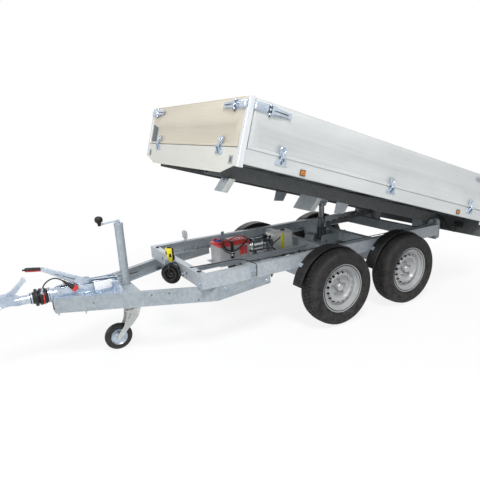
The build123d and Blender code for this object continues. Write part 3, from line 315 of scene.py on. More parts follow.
def both_sides(x, y, z):
    """Places of a bolt on the left face and on its mirror image."""
    return [facing((x, y, z), LEFT), facing((x, -y, z), RIGHT)]


# Finishes


class Graph:
    """Adds and links the nodes of a material or a group."""

    def __init__(self, tree):
        self.tree = tree

    def add(self, kind, inputs=None, **settings):
        node = self.tree.nodes.new(kind)
        for key, value in settings.items():
            setattr(node, key, value)
        for key, value in (inputs or {}).items():
            if isinstance(value, bpy.types.NodeSocket):
                self.tree.links.new(value, node.inputs[key])
            else:
                node.inputs[key].default_value = value
        return node

    def math(self, operation, a, b):
        return self.add("ShaderNodeMath", {0: a, 1: b}, operation=operation).outputs[0]

    def mix(self, factor, a, b):
        node = self.add("ShaderNodeMix", {0: factor, 6: a, 7: b}, data_type="RGBA")
        return node.outputs[2]

    def span(self, value, low, high):
        """Maps 0..1 to low..high."""
        return self.add("ShaderNodeMapRange", {0: value, 3: low, 4: high}).outputs[0]


def new_group(name, inputs, outputs):
    """A shader node group with named sockets, and its graph."""
    group = bpy.data.node_groups.new(name, "ShaderNodeTree")
    for label, kind, default in inputs:
        socket = group.interface.new_socket(name=label, in_out="INPUT", socket_type=kind)
        if default is not None:
            socket.default_value = default
    for label, kind in outputs:
        group.interface.new_socket(name=label, in_out="OUTPUT", socket_type=kind)
    graph = Graph(group)
    return group, graph, graph.add("NodeGroupInput"), graph.add("NodeGroupOutput")


def spangle_group():
    """The crystals of a zinc coat: patches of slightly different shade, with clouds over them."""
    group, g, given, out = new_group("Zinc Spangle", [("Vector", "NodeSocketVector", None),
                                                      ("Size", "NodeSocketFloat", 60.0)],
                                     [("Shade", "NodeSocketFloat"), ("Cloud", "NodeSocketFloat")])
    cells = g.add("ShaderNodeTexVoronoi", {"Vector": given.outputs[0],
                                           "Scale": given.outputs[1], "Randomness": 1.0})
    parts = g.add("ShaderNodeSeparateColor", {0: cells.outputs["Color"]})
    fine = g.add("ShaderNodeTexNoise", {"Vector": given.outputs[0], "Scale": 34.0, "Detail": 5.0})
    cloud = g.add("ShaderNodeTexNoise", {"Vector": given.outputs[0], "Scale": 4.0,
                                         "Detail": 4.0, "Roughness": 0.6})
    shade = g.math("MULTIPLY", g.math("ADD", parts.outputs[0], fine.outputs[0]), 0.5)
    g.tree.links.new(shade, out.inputs[0])
    g.tree.links.new(cloud.outputs[0], out.inputs[1])
    return group


def drawn_group():
    """The long fine marks that a die leaves along a drawn profile, with soft stains."""
    group, g, given, out = new_group("Drawn Marks", [("Vector", "NodeSocketVector", None)],
                                     [("Marks", "NodeSocketFloat"), ("Stains", "NodeSocketFloat")])
    lines = g.add("ShaderNodeMapping", {"Vector": given.outputs[0], "Scale": (1.2, 260.0, 260.0)})
    marks = g.add("ShaderNodeTexNoise", {"Vector": lines.outputs[0], "Scale": 1.0, "Detail": 3.0})
    blots = g.add("ShaderNodeMapping", {"Vector": given.outputs[0], "Scale": (1.6, 5.0, 5.0)})
    stains = g.add("ShaderNodeTexNoise", {"Vector": blots.outputs[0], "Scale": 1.4,
                                          "Detail": 5.0, "Roughness": 0.62})
    g.tree.links.new(marks.outputs[0], out.inputs[0])
    g.tree.links.new(stains.outputs[0], out.inputs[1])
    return group


def grain_group():
    """The pebbled skin of moulded plastic and rubber, with a patchy bloom."""
    group, g, given, out = new_group("Moulded Grain", [("Vector", "NodeSocketVector", None),
                                                       ("Scale", "NodeSocketFloat", 900.0)],
                                     [("Height", "NodeSocketFloat"), ("Bloom", "NodeSocketFloat")])
    pebbles = g.add("ShaderNodeTexVoronoi", {"Vector": given.outputs[0], "Scale": given.outputs[1]},
                    feature="SMOOTH_F1")
    bloom = g.add("ShaderNodeTexNoise", {"Vector": given.outputs[0], "Scale": 9.0,
                                         "Detail": 5.0, "Roughness": 0.65})
    g.tree.links.new(pebbles.outputs["Distance"], out.inputs[0])
    g.tree.links.new(bloom.outputs[0], out.inputs[1])
    return group


def dust_group():
    """Fine road dust that lies thicker low down, as a mask."""
    group, g, given, out = new_group("Road Dust", [("Vector", "NodeSocketVector", None),
                                                   ("Amount", "NodeSocketFloat", 0.3)],
                                     [("Mask", "NodeSocketFloat")])
    parts = g.add("ShaderNodeSeparateXYZ", {0: given.outputs[0]})
    low = g.add("ShaderNodeMapRange", {0: parts.outputs[2], 1: 0.0, 2: 0.7, 3: 1.0, 4: 0.15})
    specks = g.add("ShaderNodeTexNoise", {"Vector": given.outputs[0], "Scale": 22.0,
                                          "Detail": 8.0, "Roughness": 0.75})
    patch = g.add("ShaderNodeMapRange", {0: specks.outputs[0], 1: 0.42, 2: 0.75})
    mask = g.math("MULTIPLY", g.math("MULTIPLY", low.outputs[0], patch.outputs[0]), given.outputs[1])
    g.tree.links.new(mask, out.inputs[0])
    return group


GROUPS = {}
MAKERS = {"spangle": spangle_group, "drawn": drawn_group, "grain": grain_group, "dust": dust_group}
FINISHES = {}


def group_of(name):
    """One of the node groups, made when it is first asked for."""
    if name not in GROUPS:
        GROUPS[name] = MAKERS[name]()
    return GROUPS[name]


def begin(name, metallic=0.0, roughness=0.5, **sockets):
    """A new material with its shader, its graph and its Object coordinates."""
    material = bpy.data.materials.new(name)
    material.use_nodes = True
    graph = Graph(material.node_tree)
    shader = material.node_tree.nodes["Principled BSDF"]
    shader.inputs["Metallic"].default_value = metallic
    shader.inputs["Roughness"].default_value = roughness
    for key, value in sockets.items():
        shader.inputs[key.replace("_", " ").title().replace("Ior", "IOR")].default_value = value
    place = graph.add("ShaderNodeTexCoord").outputs["Object"]
    return material, graph, shader, place


def use(graph, name, inputs):
    """Puts one of the node groups into a material."""
    return graph.add("ShaderNodeGroup", inputs, node_tree=group_of(name))


def bump(graph, shader, height, strength, distance):
    """Lets a height stand out on a shader."""
    node = graph.add("ShaderNodeBump", {"Strength": strength, "Distance": distance, "Height": height})
    graph.tree.links.new(node.outputs[0], shader.inputs["Normal"])


def zinc_coat(name, dark, light, metallic, rough_low, rough_high, size, bumpy=0.15):
    """A zinc-coated steel finish."""
    material, g, shader, place = begin(name, metallic)
    coat = use(g, "spangle", {"Vector": place, "Size": size})
    shade = g.math("ADD", g.math("MULTIPLY", coat.outputs[0], 0.6), g.math("MULTIPLY",
                                                                           coat.outputs[1], 0.45))
    colour = g.mix(shade, (*dark, 1), (*light, 1))
    dust = use(g, "dust", {"Vector": place, "Amount": 0.25})
    g.tree.links.new(g.mix(dust.outputs[0], colour, (0.33, 0.31, 0.28, 1)), shader.inputs["Base Color"])
    g.tree.links.new(g.span(coat.outputs[0], rough_low, rough_high), shader.inputs["Roughness"])
    bump(g, shader, coat.outputs[0], bumpy, 0.0006)
    return material


def drawn_metal(name, dark, light, metallic, roughness, turned):
    """Drawn aluminium, its marks running along the profile."""
    material, g, shader, place = begin(name, metallic)
    mapping = g.add("ShaderNodeMapping", {"Vector": place, "Rotation": turned})
    marks = use(g, "drawn", {"Vector": mapping.outputs[0]})
    shade = g.math("ADD", g.math("MULTIPLY", marks.outputs[0], 0.45),
                   g.math("MULTIPLY", marks.outputs[1], 0.6))
    colour = g.mix(shade, (*dark, 1), (*light, 1))
    g.tree.links.new(colour, shader.inputs["Base Color"])
    g.tree.links.new(g.span(marks.outputs[1], roughness - 0.07, roughness + 0.08),
                     shader.inputs["Roughness"])
    bump(g, shader, marks.outputs[0], 0.08, 0.0004)
    return material


def moulded(name, colour, bloom, roughness, scale=900.0, bumpy=0.2, coat=0.0, dust=0.2, gloss=0.5):
    """Moulded plastic or rubber with a fine skin."""
    material, g, shader, place = begin(name, 0.0, coat_weight=coat, specular_ior_level=gloss)
    skin = use(g, "grain", {"Vector": place, "Scale": scale})
    patch = g.add("ShaderNodeMapRange", {0: skin.outputs[1], 1: 0.35, 2: 0.75})
    tone = g.mix(patch.outputs[0], (*colour, 1), (*bloom, 1))
    specks = use(g, "dust", {"Vector": place, "Amount": dust})
    g.tree.links.new(g.mix(specks.outputs[0], tone, (0.20, 0.18, 0.16, 1)), shader.inputs["Base Color"])
    g.tree.links.new(g.span(skin.outputs[1], roughness - 0.08, roughness + 0.12), shader.inputs["Roughness"])
    bump(g, shader, skin.outputs[0], bumpy, 0.0004)
    return material


TILT = math.radians(REST_TILT)
ALONG_BED = (0.0, TILT, 0.0)
ACROSS_BED = (0.0, 0.0, math.pi / 2)


def finish_of(name):
    """The material for a finish, made when it is first asked for."""
    if name not in FINISHES:
        maker, label, *values = RECIPES[name]
        looks = bpy.context.scene.trailer_looks
        FINISHES[name] = maker(label, *[getattr(looks, v) if isinstance(v, str) else v for v in values])
    return FINISHES[name]


def lens(name, colour, clearness):
    """Lens plastic with fine prisms behind its skin."""
    material, g, shader, place = begin(name, 0.0, 0.12,
                                       transmission_weight=clearness, ior=1.49, coat_weight=0.4)
    prisms = g.add("ShaderNodeTexVoronoi", {"Vector": place, "Scale": 260.0}, distance="CHEBYCHEV")
    deep = tuple(c * 0.6 for c in colour)
    g.tree.links.new(g.mix(g.span(prisms.outputs["Distance"], 0.0, 1.0), (*deep, 1), (*colour, 1)),
                     shader.inputs["Base Color"])
    bump(g, shader, prisms.outputs["Distance"], 0.4, 0.001)
    return material


# Each finish has its maker and the maker's values. A value in quotes is one of the settings below.
RECIPES = {
    # Galvanised Rail is a lighter copy of the galvanised finish, painted sunlight for the rails, front
    # member, tray and guides; Shaded Steel is a darker copy, painted shade for the beams under the bed.
    "galvanised_rail": (zinc_coat, "Galvanised Rail", (0.27, 0.31, 0.345), (0.58, 0.62, 0.655), 0.2, 0.4,
            0.58, "spangle_scale"),
    "under_steel": (zinc_coat, "Shaded Steel", (0.045, 0.05, 0.05), (0.15, 0.16, 0.162), 0.2, 0.45, 0.62,
            50.0),
    "galvanised": (zinc_coat, "Galvanised Steel", (0.19, 0.225, 0.25), (0.44, 0.485, 0.52), 0.2, 0.42, 0.6,
            "spangle_scale"),
    # Bright Zinc's deep-blue dark end, laid in cloudy patches, is partly the coat's own tone and partly
    # painted dark blue reflections.
    "bright_zinc": (zinc_coat, "Bright Zinc", (0.20, 0.28, 0.42), (0.74, 0.80, 0.85), 0.7, 0.18, 0.30, 14.0,
            0.02),
    "aluminium_side": (drawn_metal, "Aluminium Side", (0.46, 0.48, 0.48), (0.80, 0.82, 0.82), 0.35, 0.40,
            ALONG_BED),
    # The warm beige of Aluminium End is painted reflection of warm surroundings on the end boards' plain
    # aluminium.
    "aluminium_end": (drawn_metal, "Aluminium End", (0.48, 0.44, 0.36), (0.70, 0.65, 0.54), 0.3, 0.46,
            ACROSS_BED),
    "aluminium_panel": (drawn_metal, "Aluminium Panel", (0.52, 0.52, 0.47), (0.74, 0.74, 0.69), 0.3, 0.46,
            ACROSS_BED),
    # The slope and stile finishes below are painted shade: dark copies of the board aluminium for the slopes
    # of the sunk panels.
    "slope_shade": (drawn_metal, "Shaded Slope", (0.028, 0.025, 0.020), (0.085, 0.075, 0.062), 0.1, 0.55,
            ACROSS_BED),
    "slope_shade_grey": (drawn_metal, "Shaded Grey Slope", (0.15, 0.152, 0.15), (0.33, 0.335, 0.33), 0.2, 0.5, ALONG_BED),
    "stile_shade": (drawn_metal, "Shaded Stile", (0.055, 0.07, 0.085), (0.15, 0.18, 0.20), 0.1, 0.5,
            (0.0, math.pi / 2, 0.0)),
    "aluminium_post": (drawn_metal, "Aluminium Post", (0.66, 0.68, 0.70), (0.84, 0.86, 0.88), 0.4, 0.35,
            (0.0, math.pi / 2 + TILT, 0.0)),
    "floor_plate": (zinc_coat, "Bed Floor Plate", (0.14, 0.155, 0.165), (0.30, 0.32, 0.33), 0.25, 0.45, 0.62,
            40.0),
    "wheel_silver": (moulded, "Silver Wheel Paint", "wheel_colour", (0.46, 0.465, 0.47), 0.3, 2600.0, 0.03,
            0.3, 0.35),
    "tyre_rubber": (moulded, "Tyre Rubber", "tyre_colour", (0.020, 0.020, 0.020), 0.66, 700.0, 0.25, 0.0,
            0.35, 0.25),
    "black_rubber": (moulded, "Black Rubber", (0.008, 0.008, 0.009), (0.02, 0.02, 0.02), 0.45, 900.0, 0.15,
            0.0, 0.2, 0.35),
    "black_plastic": (moulded, "Black Plastic", (0.006, 0.006, 0.007), (0.016, 0.016, 0.017), 0.45, 700.0,
            0.25, 0.0, 0.2, 0.3),
    "red_plastic": (moulded, "Red Plastic", (0.62, 0.02, 0.02), (0.72, 0.05, 0.04), 0.32, 1500.0, 0.08, 0.2),
    "yellow_plastic": (moulded, "Yellow Plastic", (0.80, 0.66, 0.01), (0.88, 0.76, 0.06), 0.36, 1500.0,
            0.08),
    "blue_plastic": (moulded, "Blue Plastic", (0.03, 0.07, 0.50), (0.05, 0.12, 0.62), 0.36, 1500.0, 0.08),
    "pale_plastic": (moulded, "Pale Plastic", (0.76, 0.76, 0.73), (0.84, 0.84, 0.81), 0.4, 800.0, 0.12),
    "grey_plastic": (moulded, "Grey Plastic", (0.40, 0.40, 0.41), (0.52, 0.52, 0.53), 0.4, 900.0, 0.1),
    "strip_yellow": (moulded, "Level Strip", (0.80, 0.78, 0.02), (0.86, 0.84, 0.08), 0.4, 1500.0, 0.03),
    "blank_plate": (moulded, "Blank Plate", (0.78, 0.79, 0.80), (0.84, 0.85, 0.86), 0.3, 2000.0, 0.03),
    "steel": (drawn_metal, "Ground Steel", (0.34, 0.35, 0.36), (0.56, 0.57, 0.58), 1.0, 0.24,
            (0.0, 0.0, 0.0)),
    "drum_steel": (zinc_coat, "Drum Steel", (0.012, 0.012, 0.012), (0.04, 0.038, 0.035), 0.1, 0.55, 0.7,
            120.0),
    # Fork Zinc also colours the guide strips under the bed, where its paleness is painted sunlight.
    "fork_zinc": (zinc_coat, "Fork Zinc", (0.50, 0.52, 0.50), (0.78, 0.80, 0.77), 0.25, 0.35, 0.5, 40.0,
            0.05),
    "dark_steel": (zinc_coat, "Dark Steel", (0.05, 0.055, 0.06), (0.14, 0.15, 0.155), 0.5, 0.4, 0.6, 120.0),
    # The cylinder stages' dark steel is painted shade from the bed above them.
    "shaded_stage_steel": (drawn_metal, "Shaded Stage Steel", (0.10, 0.105, 0.11), (0.22, 0.225, 0.23), 0.9, 0.22,
            (0.0, math.pi / 2, 0.0)),
    "brass": (drawn_metal, "Brass", (0.55, 0.40, 0.16), (0.72, 0.56, 0.26), 1.0, 0.3, (0.0, 0.0, 0.0)),
    "amber_lens": (lens, "Amber Lens", (0.95, 0.30, 0.01), 0.35),
    "clear_lens": (lens, "Clear Lens", (0.80, 0.85, 0.92), 0.55),
    "red_lens": (lens, "Red Lens", (0.55, 0.01, 0.01), 0.3),
}


NODE_FINISH = {
    "galvanised_rail": ["rails", "front_member", "equipment_tray", "bed_guides"],
    "galvanised": ["cross_members", "rear_brackets", "drawbar_beams", "front_axle", "rear_axle",
            "jockey_tube", "jockey_clamp"],
    "under_steel": ["sub_beams", "bed_cross_beams", "rear_sill"],
    "bright_zinc": ["overrun_housing", "remote_holder", "coupling_head", "handbrake", "jockey_crank",
            "jockey_leg", "hinge_bases", "left_board_fittings", "right_board_fittings", "headboard_fittings",
            "tailboard_fittings"],
    "aluminium_side": ["side_frames", "left_board", "right_board"],
    "aluminium_end": ["headboard", "tailboard"],
    "aluminium_panel": ["front_panel"],
    "aluminium_post": ["corner_posts"],
    "fork_zinc": ["jockey_fork"],
    "floor_plate": ["bed_floor"],
    "wheel_silver": ["rim_left_front", "rim_right_front", "rim_left_rear", "rim_right_rear"],
    "tyre_rubber": ["tyre_left_front", "tyre_right_front", "tyre_left_rear", "tyre_right_rear"],
    "black_rubber": ["bellows", "remote_coil", "jockey_wheel", "plug_lead", "plug"],
    "black_plastic": ["mudguards"],
    "dark_steel": ["cylinder_barrel", "safety_prop"],
    "shaded_stage_steel": ["cylinder_stage_1", "cylinder_stage_2", "cylinder_stage_3"],
    "steel": ["hydraulic_pump"],
    "grey_plastic": ["battery"],
    "pale_plastic": ["oil_tank"],
    "yellow_plastic": ["remote"],
    "amber_lens": ["bed_lamps"],
    "clear_lens": ["reflector_post"],
}


# Settings a user would change


class TrailerLooks(bpy.types.PropertyGroup):
    """Finishes of the trailer."""

    spangle_scale: bpy.props.FloatProperty(name="Spangle Scale",
                                           description="Crystals of the zinc coat per metre",
                                           default=55.0, min=5.0)
    wheel_colour: bpy.props.FloatVectorProperty(name="Wheel Paint", description="Colour of the steel wheels",
                                                subtype="COLOR", default=(0.36, 0.37, 0.375), min=0, max=1)
    tyre_colour: bpy.props.FloatVectorProperty(name="Tyre", description="Colour of the tyre rubber",
                                               subtype="COLOR", default=(0.009, 0.009, 0.010), min=0, max=1)


class TrailerTyres(bpy.types.PropertyGroup):
    """Sizes of the tyre's tread."""

    pitches: bpy.props.IntProperty(name="Pitches",
                                   description="Rows of tread blocks round a tyre", default=64, min=8)
    groove: bpy.props.FloatProperty(name="Groove", description="Depth of the tread grooves",
                                    default=0.007, unit="LENGTH")
    rim_cap: bpy.props.FloatProperty(name="Hub Cap", description="Radius of the hub cap",
                                     default=0.031, unit="LENGTH")


# Pieces


class TRAILER_OT_finishes(bpy.types.Operator):
    """Give every solid of the model its finish"""

    bl_idname = "trailer.finishes"
    bl_label = "Finishes"

    def execute(self, context):
        for paint, names in NODE_FINISH.items():
            for name in names:
                mesh = NODES[name].data
                mesh.materials.clear()
                mesh.materials.append(finish_of(paint))
        return {"FINISHED"}


def tyre_shape(pitches, groove):
    """A road tyre about the origin with its axle along Y and its outside to +Y."""
    base = TYRE_R - groove
    half = TYRE_HALF
    side = [(half - 18, RIM_R - 16), (half - 20, RIM_R - 4), (half - 12, RIM_R + 5), (half - 5, RIM_R + 9),
            (half - 3.5, RIM_R + 16), (half - 1, RIM_R + 22), (half, RIM_R + 34), (half - 0.2, RIM_R + 46),
            (half - 1.4, RIM_R + 47), (half - 1.6, RIM_R + 60), (half - 4, TYRE_R - 40),
            (half - 3, TYRE_R - 38), (half - 4.5, TYRE_R - 32), (half - 10, TYRE_R - 20),
            (half - 18, base - 7), (half - 27, base - 2)]
    profile = side + [(30, base), (10, base + 0.4)] + [(-10, base + 0.4), (-30, base)]
    profile += [(-along, radius) for along, radius in reversed(side)]
    work = bmesh.new()
    add(work, lathe(profile, ORIGIN, LEFT, 96))
    step = math.tau / pitches
    rows = [(-13, 13, 0.0, 0.78, 0), (17, 37, 0.5, 0.74, -1), (-37, -17, 0.25, 0.74, -1),
            (41, 68, 0.1, 0.8, -3.5), (-68, -41, 0.6, 0.8, -3.5)]
    for y0, y1, offset, fill, drop in rows:
        top = TYRE_R + drop
        outer0 = top if abs(y0) < abs(y1) else top - (5 if abs(y0) > 50 else 0.5)
        outer1 = top if abs(y1) < abs(y0) else top - (5 if abs(y1) > 50 else 0.5)
        width = step * fill * TYRE_R / 2
        skew = 7 if y0 > 0 else (-7 if y1 < 0 else 4)
        foot = base - 6
        part = bmesh.new()
        low = [part.verts.new(p) for p in ((-width - skew / 2, y0, foot), (width - skew / 2, y0, foot),
                                           (width + skew / 2, y1, foot), (-width + skew / 2, y1, foot))]
        high = [part.verts.new(p) for p in ((-width + 1 - skew / 2, y0 + 0.8, outer0),
                                            (width - 1 - skew / 2, y0 + 0.8, outer0),
                                            (width - 1 + skew / 2, y1 - 0.8, outer1),
                                            (-width + 1 + skew / 2, y1 - 0.8, outer1))]
        part.faces.new(high)
        for i in range(4):
            j = (i + 1) % 4
            part.faces.new((low[i], low[j], high[j], high[i]))
        face_outward(part)
        if part.faces[0].normal.z < 0:
            bmesh.ops.reverse_faces(part, faces=part.faces)
        add(work, part, 0, ring(pitches, ORIGIN, LEFT, offset * 360 / pitches))
    rib = block(-0.9, 0.9, half - 4.0, half - 0.6, RIM_R + 50, RIM_R + 58)
    add(work, rib, 0, ring(120, ORIGIN, LEFT))
    return work


def wheel_place(side, x):
    """The place of a wheel, with its outside away from the chassis."""
    return ROW @ at(x, side * WHEEL_MID, TYRE_R) @ turn(0 if side > 0 else 180, "Z")


class TRAILER_OT_tyres(bpy.types.Operator):
    """Make the four tyres with their tread blocks and sidewall ribs"""

    bl_idname = "trailer.tyres"
    bl_label = "Tyres"

    def execute(self, context):
        sizes = context.scene.trailer_tyres
        for name, side, x in WHEELS:
            work = tyre_shape(sizes.pitches, sizes.groove * 1000)
            finish("tread_" + name, work, "wheel_" + name,
                   ["tyre_rubber"], wheel_place(side, x), hides=("tyre_" + name,))
        return {"FINISHED"}


class TRAILER_OT_wheel_details(bpy.types.Operator):
    """Make the hub caps, wheel bolts, valves, rim lips and brake drums of the steel wheels"""

    bl_idname = "trailer.wheel_details"
    bl_label = "Wheel Details"

    def execute(self, context):
        cap_r = context.scene.trailer_tyres.rim_cap * 1000
        for name, side, x in WHEELS:
            work = bmesh.new()
            cap = [(36, cap_r), (47, cap_r), (50, cap_r - 2), (53, cap_r - 7), (54.5, cap_r - 9),
                   (54.5, cap_r - 14), (53, cap_r - 16), (53, 0)]
            add(work, lathe(cap, ORIGIN, LEFT, 40), 1)
            head = bolt(9, 0.5, 17)
            add(work, head, 1, [turn(72 * i, "Y") @ at(0, 25, 56) @ turn(-90, "X") for i in range(5)])
            seat = lathe([(24, 8.5), (28, 12), (25.5, 15), (24.2, 17.5)], (0, 0, 56), LEFT, 20)
            add(work, seat, 0, [turn(72 * i, "Y") for i in range(5)])
            add(work, bent_rod([(0, 30, 140), (0, 44, 141), (0, 58, 136)], 4.2, 2), 2, [turn(47, "Y")])
            lip = lathe([(73.5, RIM_R - 5.5), (75, RIM_R - 3.5), (75.2, RIM_R - 1), (73.5, RIM_R + 0.4)],
                        ORIGIN, LEFT, 72)
            add(work, lip, 0)
            drum = [(-62, 0), (-62, 160), (-58, 164), (-55, 160), (-55, 128), (4, 126), (9, 118), (9, 60)]
            add(work, lathe(drum, ORIGIN, LEFT, 56), 3)
            finish("wheel_parts_" + name, work, "wheel_" + name,
                   ["wheel_silver", "steel", "black_rubber", "drum_steel"], wheel_place(side, x))
        return {"FINISHED"}


# Hitch and drawbar gear

LEAD_ROUTE = [(2408, 50, 551), (2398, 55, 590), (2368, 60, 620),
              (2330, 63, 634), (2294, 65, 624), (2270, 67, 601)]
LEAD_R = 4.5
PLUG_TIP = (2196.0, 73.0, 527.0)


class TRAILER_OT_lead(bpy.types.Operator):
    """Lay the lighting lead from the drawbar boot to its plug, and make the plug"""

    bl_idname = "trailer.lead"
    bl_label = "Lead And Plug"

    def execute(self, context):
        top = Vector(LEAD_ROUTE[-1])
        aim = Vector(PLUG_TIP) - top
        length = aim.length
        work = bmesh.new()
        boot = [(-5, 0), (-5, 6.4), (0, 7.0)]
        for i in range(9):
            along = 2 + i * 8.3
            radius = 7.4 + i * 1.05
            boot += [(along, radius), (along + 2.5, radius + 1.3),
                     (along + 5.2, radius + 1.2), (along + 6.4, radius)]
        boot += [(length - 27, 16.8), (length - 27, 0)]
        add(work, lathe(boot, top, aim.normalized(), 40))
        shell = [(-28, 0), (-28, 18.5), (-27, 21.4), (-25, 22), (-20, 22), (-18.5, 20.4), (-3, 20),
                 (-0.8, 19.2), (0, 17.8), (-0.4, 15.6), (-3, 15), (-3, 0)]
        add(work, lathe(shell, PLUG_TIP, aim.normalized(), 40), 1)
        key = block(-2.6, 2.6, 19, 21.6, -24, -2, 0.7)
        add(work, key, 1, [facing(PLUG_TIP, aim)])
        pins = rod((0, 8, -4), (0, 8, -1.2), 1.6, 10)
        add(work, pins, 2, [facing(PLUG_TIP, aim) @ turn(51.4 * i, "Z") for i in range(7)])
        plug = finish("plug_parts", work, "chassis", ["black_rubber", "red_plastic",
                                                                      "brass"], hides=("plug",))
        route = [ROW @ Vector(point) for point in LEAD_ROUTE]
        lead = bpy.data.objects.new("lead", line_of("lead", route, LEAD_R / 1000, 4, 12))
        context.scene.collection.objects.link(lead)
        lead.data.materials.append(finish_of("black_rubber"))
        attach(lead, "chassis")
        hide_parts("plug_lead")
        start = Vector(LEAD_ROUTE[0])
        away = (Vector(LEAD_ROUTE[1]) - start).normalized()
        work = bmesh.new()
        sleeve = [(-15, 0), (-15, 8.6), (-1, 8.8), (1, 7.6), (9, 6.6), (9, 7.2), (12, 7.2), (12, 6.2),
                  (27, 5.2), (29, 4.7), (29, 0)]
        add(work, lathe(sleeve, start, away, 24))
        finish("lead_sleeve", work, "chassis", ["bright_zinc"])
        return {"FINISHED"}


BOOT_BACK = 2364.3
BOOT_L = 117.7
BOOT_RIBS = ((24.7, 54.0), (51.8, 57.0), (78.9, 60.0))


class TRAILER_OT_boot(bpy.types.Operator):
    """Make the ribbed rubber boot of the drawbar shaft with its clamp bands"""

    bl_idname = "trailer.boot"
    bl_label = "Drawbar Boot"

    def execute(self, context):
        profile = [(0, 25.3), (0, 48), (1.5, 49.5), (10, 49.5), (11.5, 44)]
        for middle, top in BOOT_RIBS:
            for i in range(9):
                swing = math.pi * i / 8
                profile.append((middle - 11.8 * math.cos(swing),
                                43.5 + (top - 43.5) * math.sin(swing) ** 0.75))
        profile += [(93, 41), (98, 39.5), (104, 38.5), (114, 37), (BOOT_L, 35), (BOOT_L, 25.3)]
        work = bmesh.new()
        add(work, lathe(profile, (BOOT_BACK, 0, HITCH_Z), AHEAD, 56, True))
        add(work, lathe([(33.6, 43), (33.2, 55), (34.6, 58), (40.2, 58), (41.8, 55), (41.4, 43)],
                        (BOOT_BACK, 0, HITCH_Z), AHEAD, 56, True), 1)
        for low, high, radius in ((2.5, 9, 49.5), (105, 112.5, 38.4)):
            add(work, lathe([(low, radius - 1), (low, radius + 1.2), (high, radius + 1.0),
                             (high, radius - 1)], (BOOT_BACK, 0, HITCH_Z), AHEAD, 48, True), 2)
            clasp = block(BOOT_BACK + low - 1, BOOT_BACK + high + 1, -9,
                          9, HITCH_Z + radius, HITCH_Z + radius + 5, 1)
            add(work, clasp, 2, [at(0, 0, HITCH_Z) @ turn(-60, "X") @ at(0, 0, -HITCH_Z)])
        finish("boot_parts", work, "chassis",
               ["black_rubber", "red_plastic", "bright_zinc"], hides=("bellows",))
        return {"FINISHED"}


def cut(part, point, normal):
    """Cuts a shape off at a plane, on the normal's side, and closes it."""
    made = bmesh.ops.bisect_plane(part, geom=part.verts[:] + part.edges[:] + part.faces[:], plane_co=point,
                                  plane_no=normal, clear_outer=True)
    rim = [e for e in made["geom_cut"] if isinstance(e, bmesh.types.BMEdge)]
    bmesh.ops.edgeloop_fill(part, edges=rim)
    face_outward(part)
    return part


LEVER_PIVOT = (2124.0, 565.0)
LEVER_ELBOW = (2383.0, 705.0)
GRIP_END = (2485.0, 716.0)
LEVER_Y = 46.0


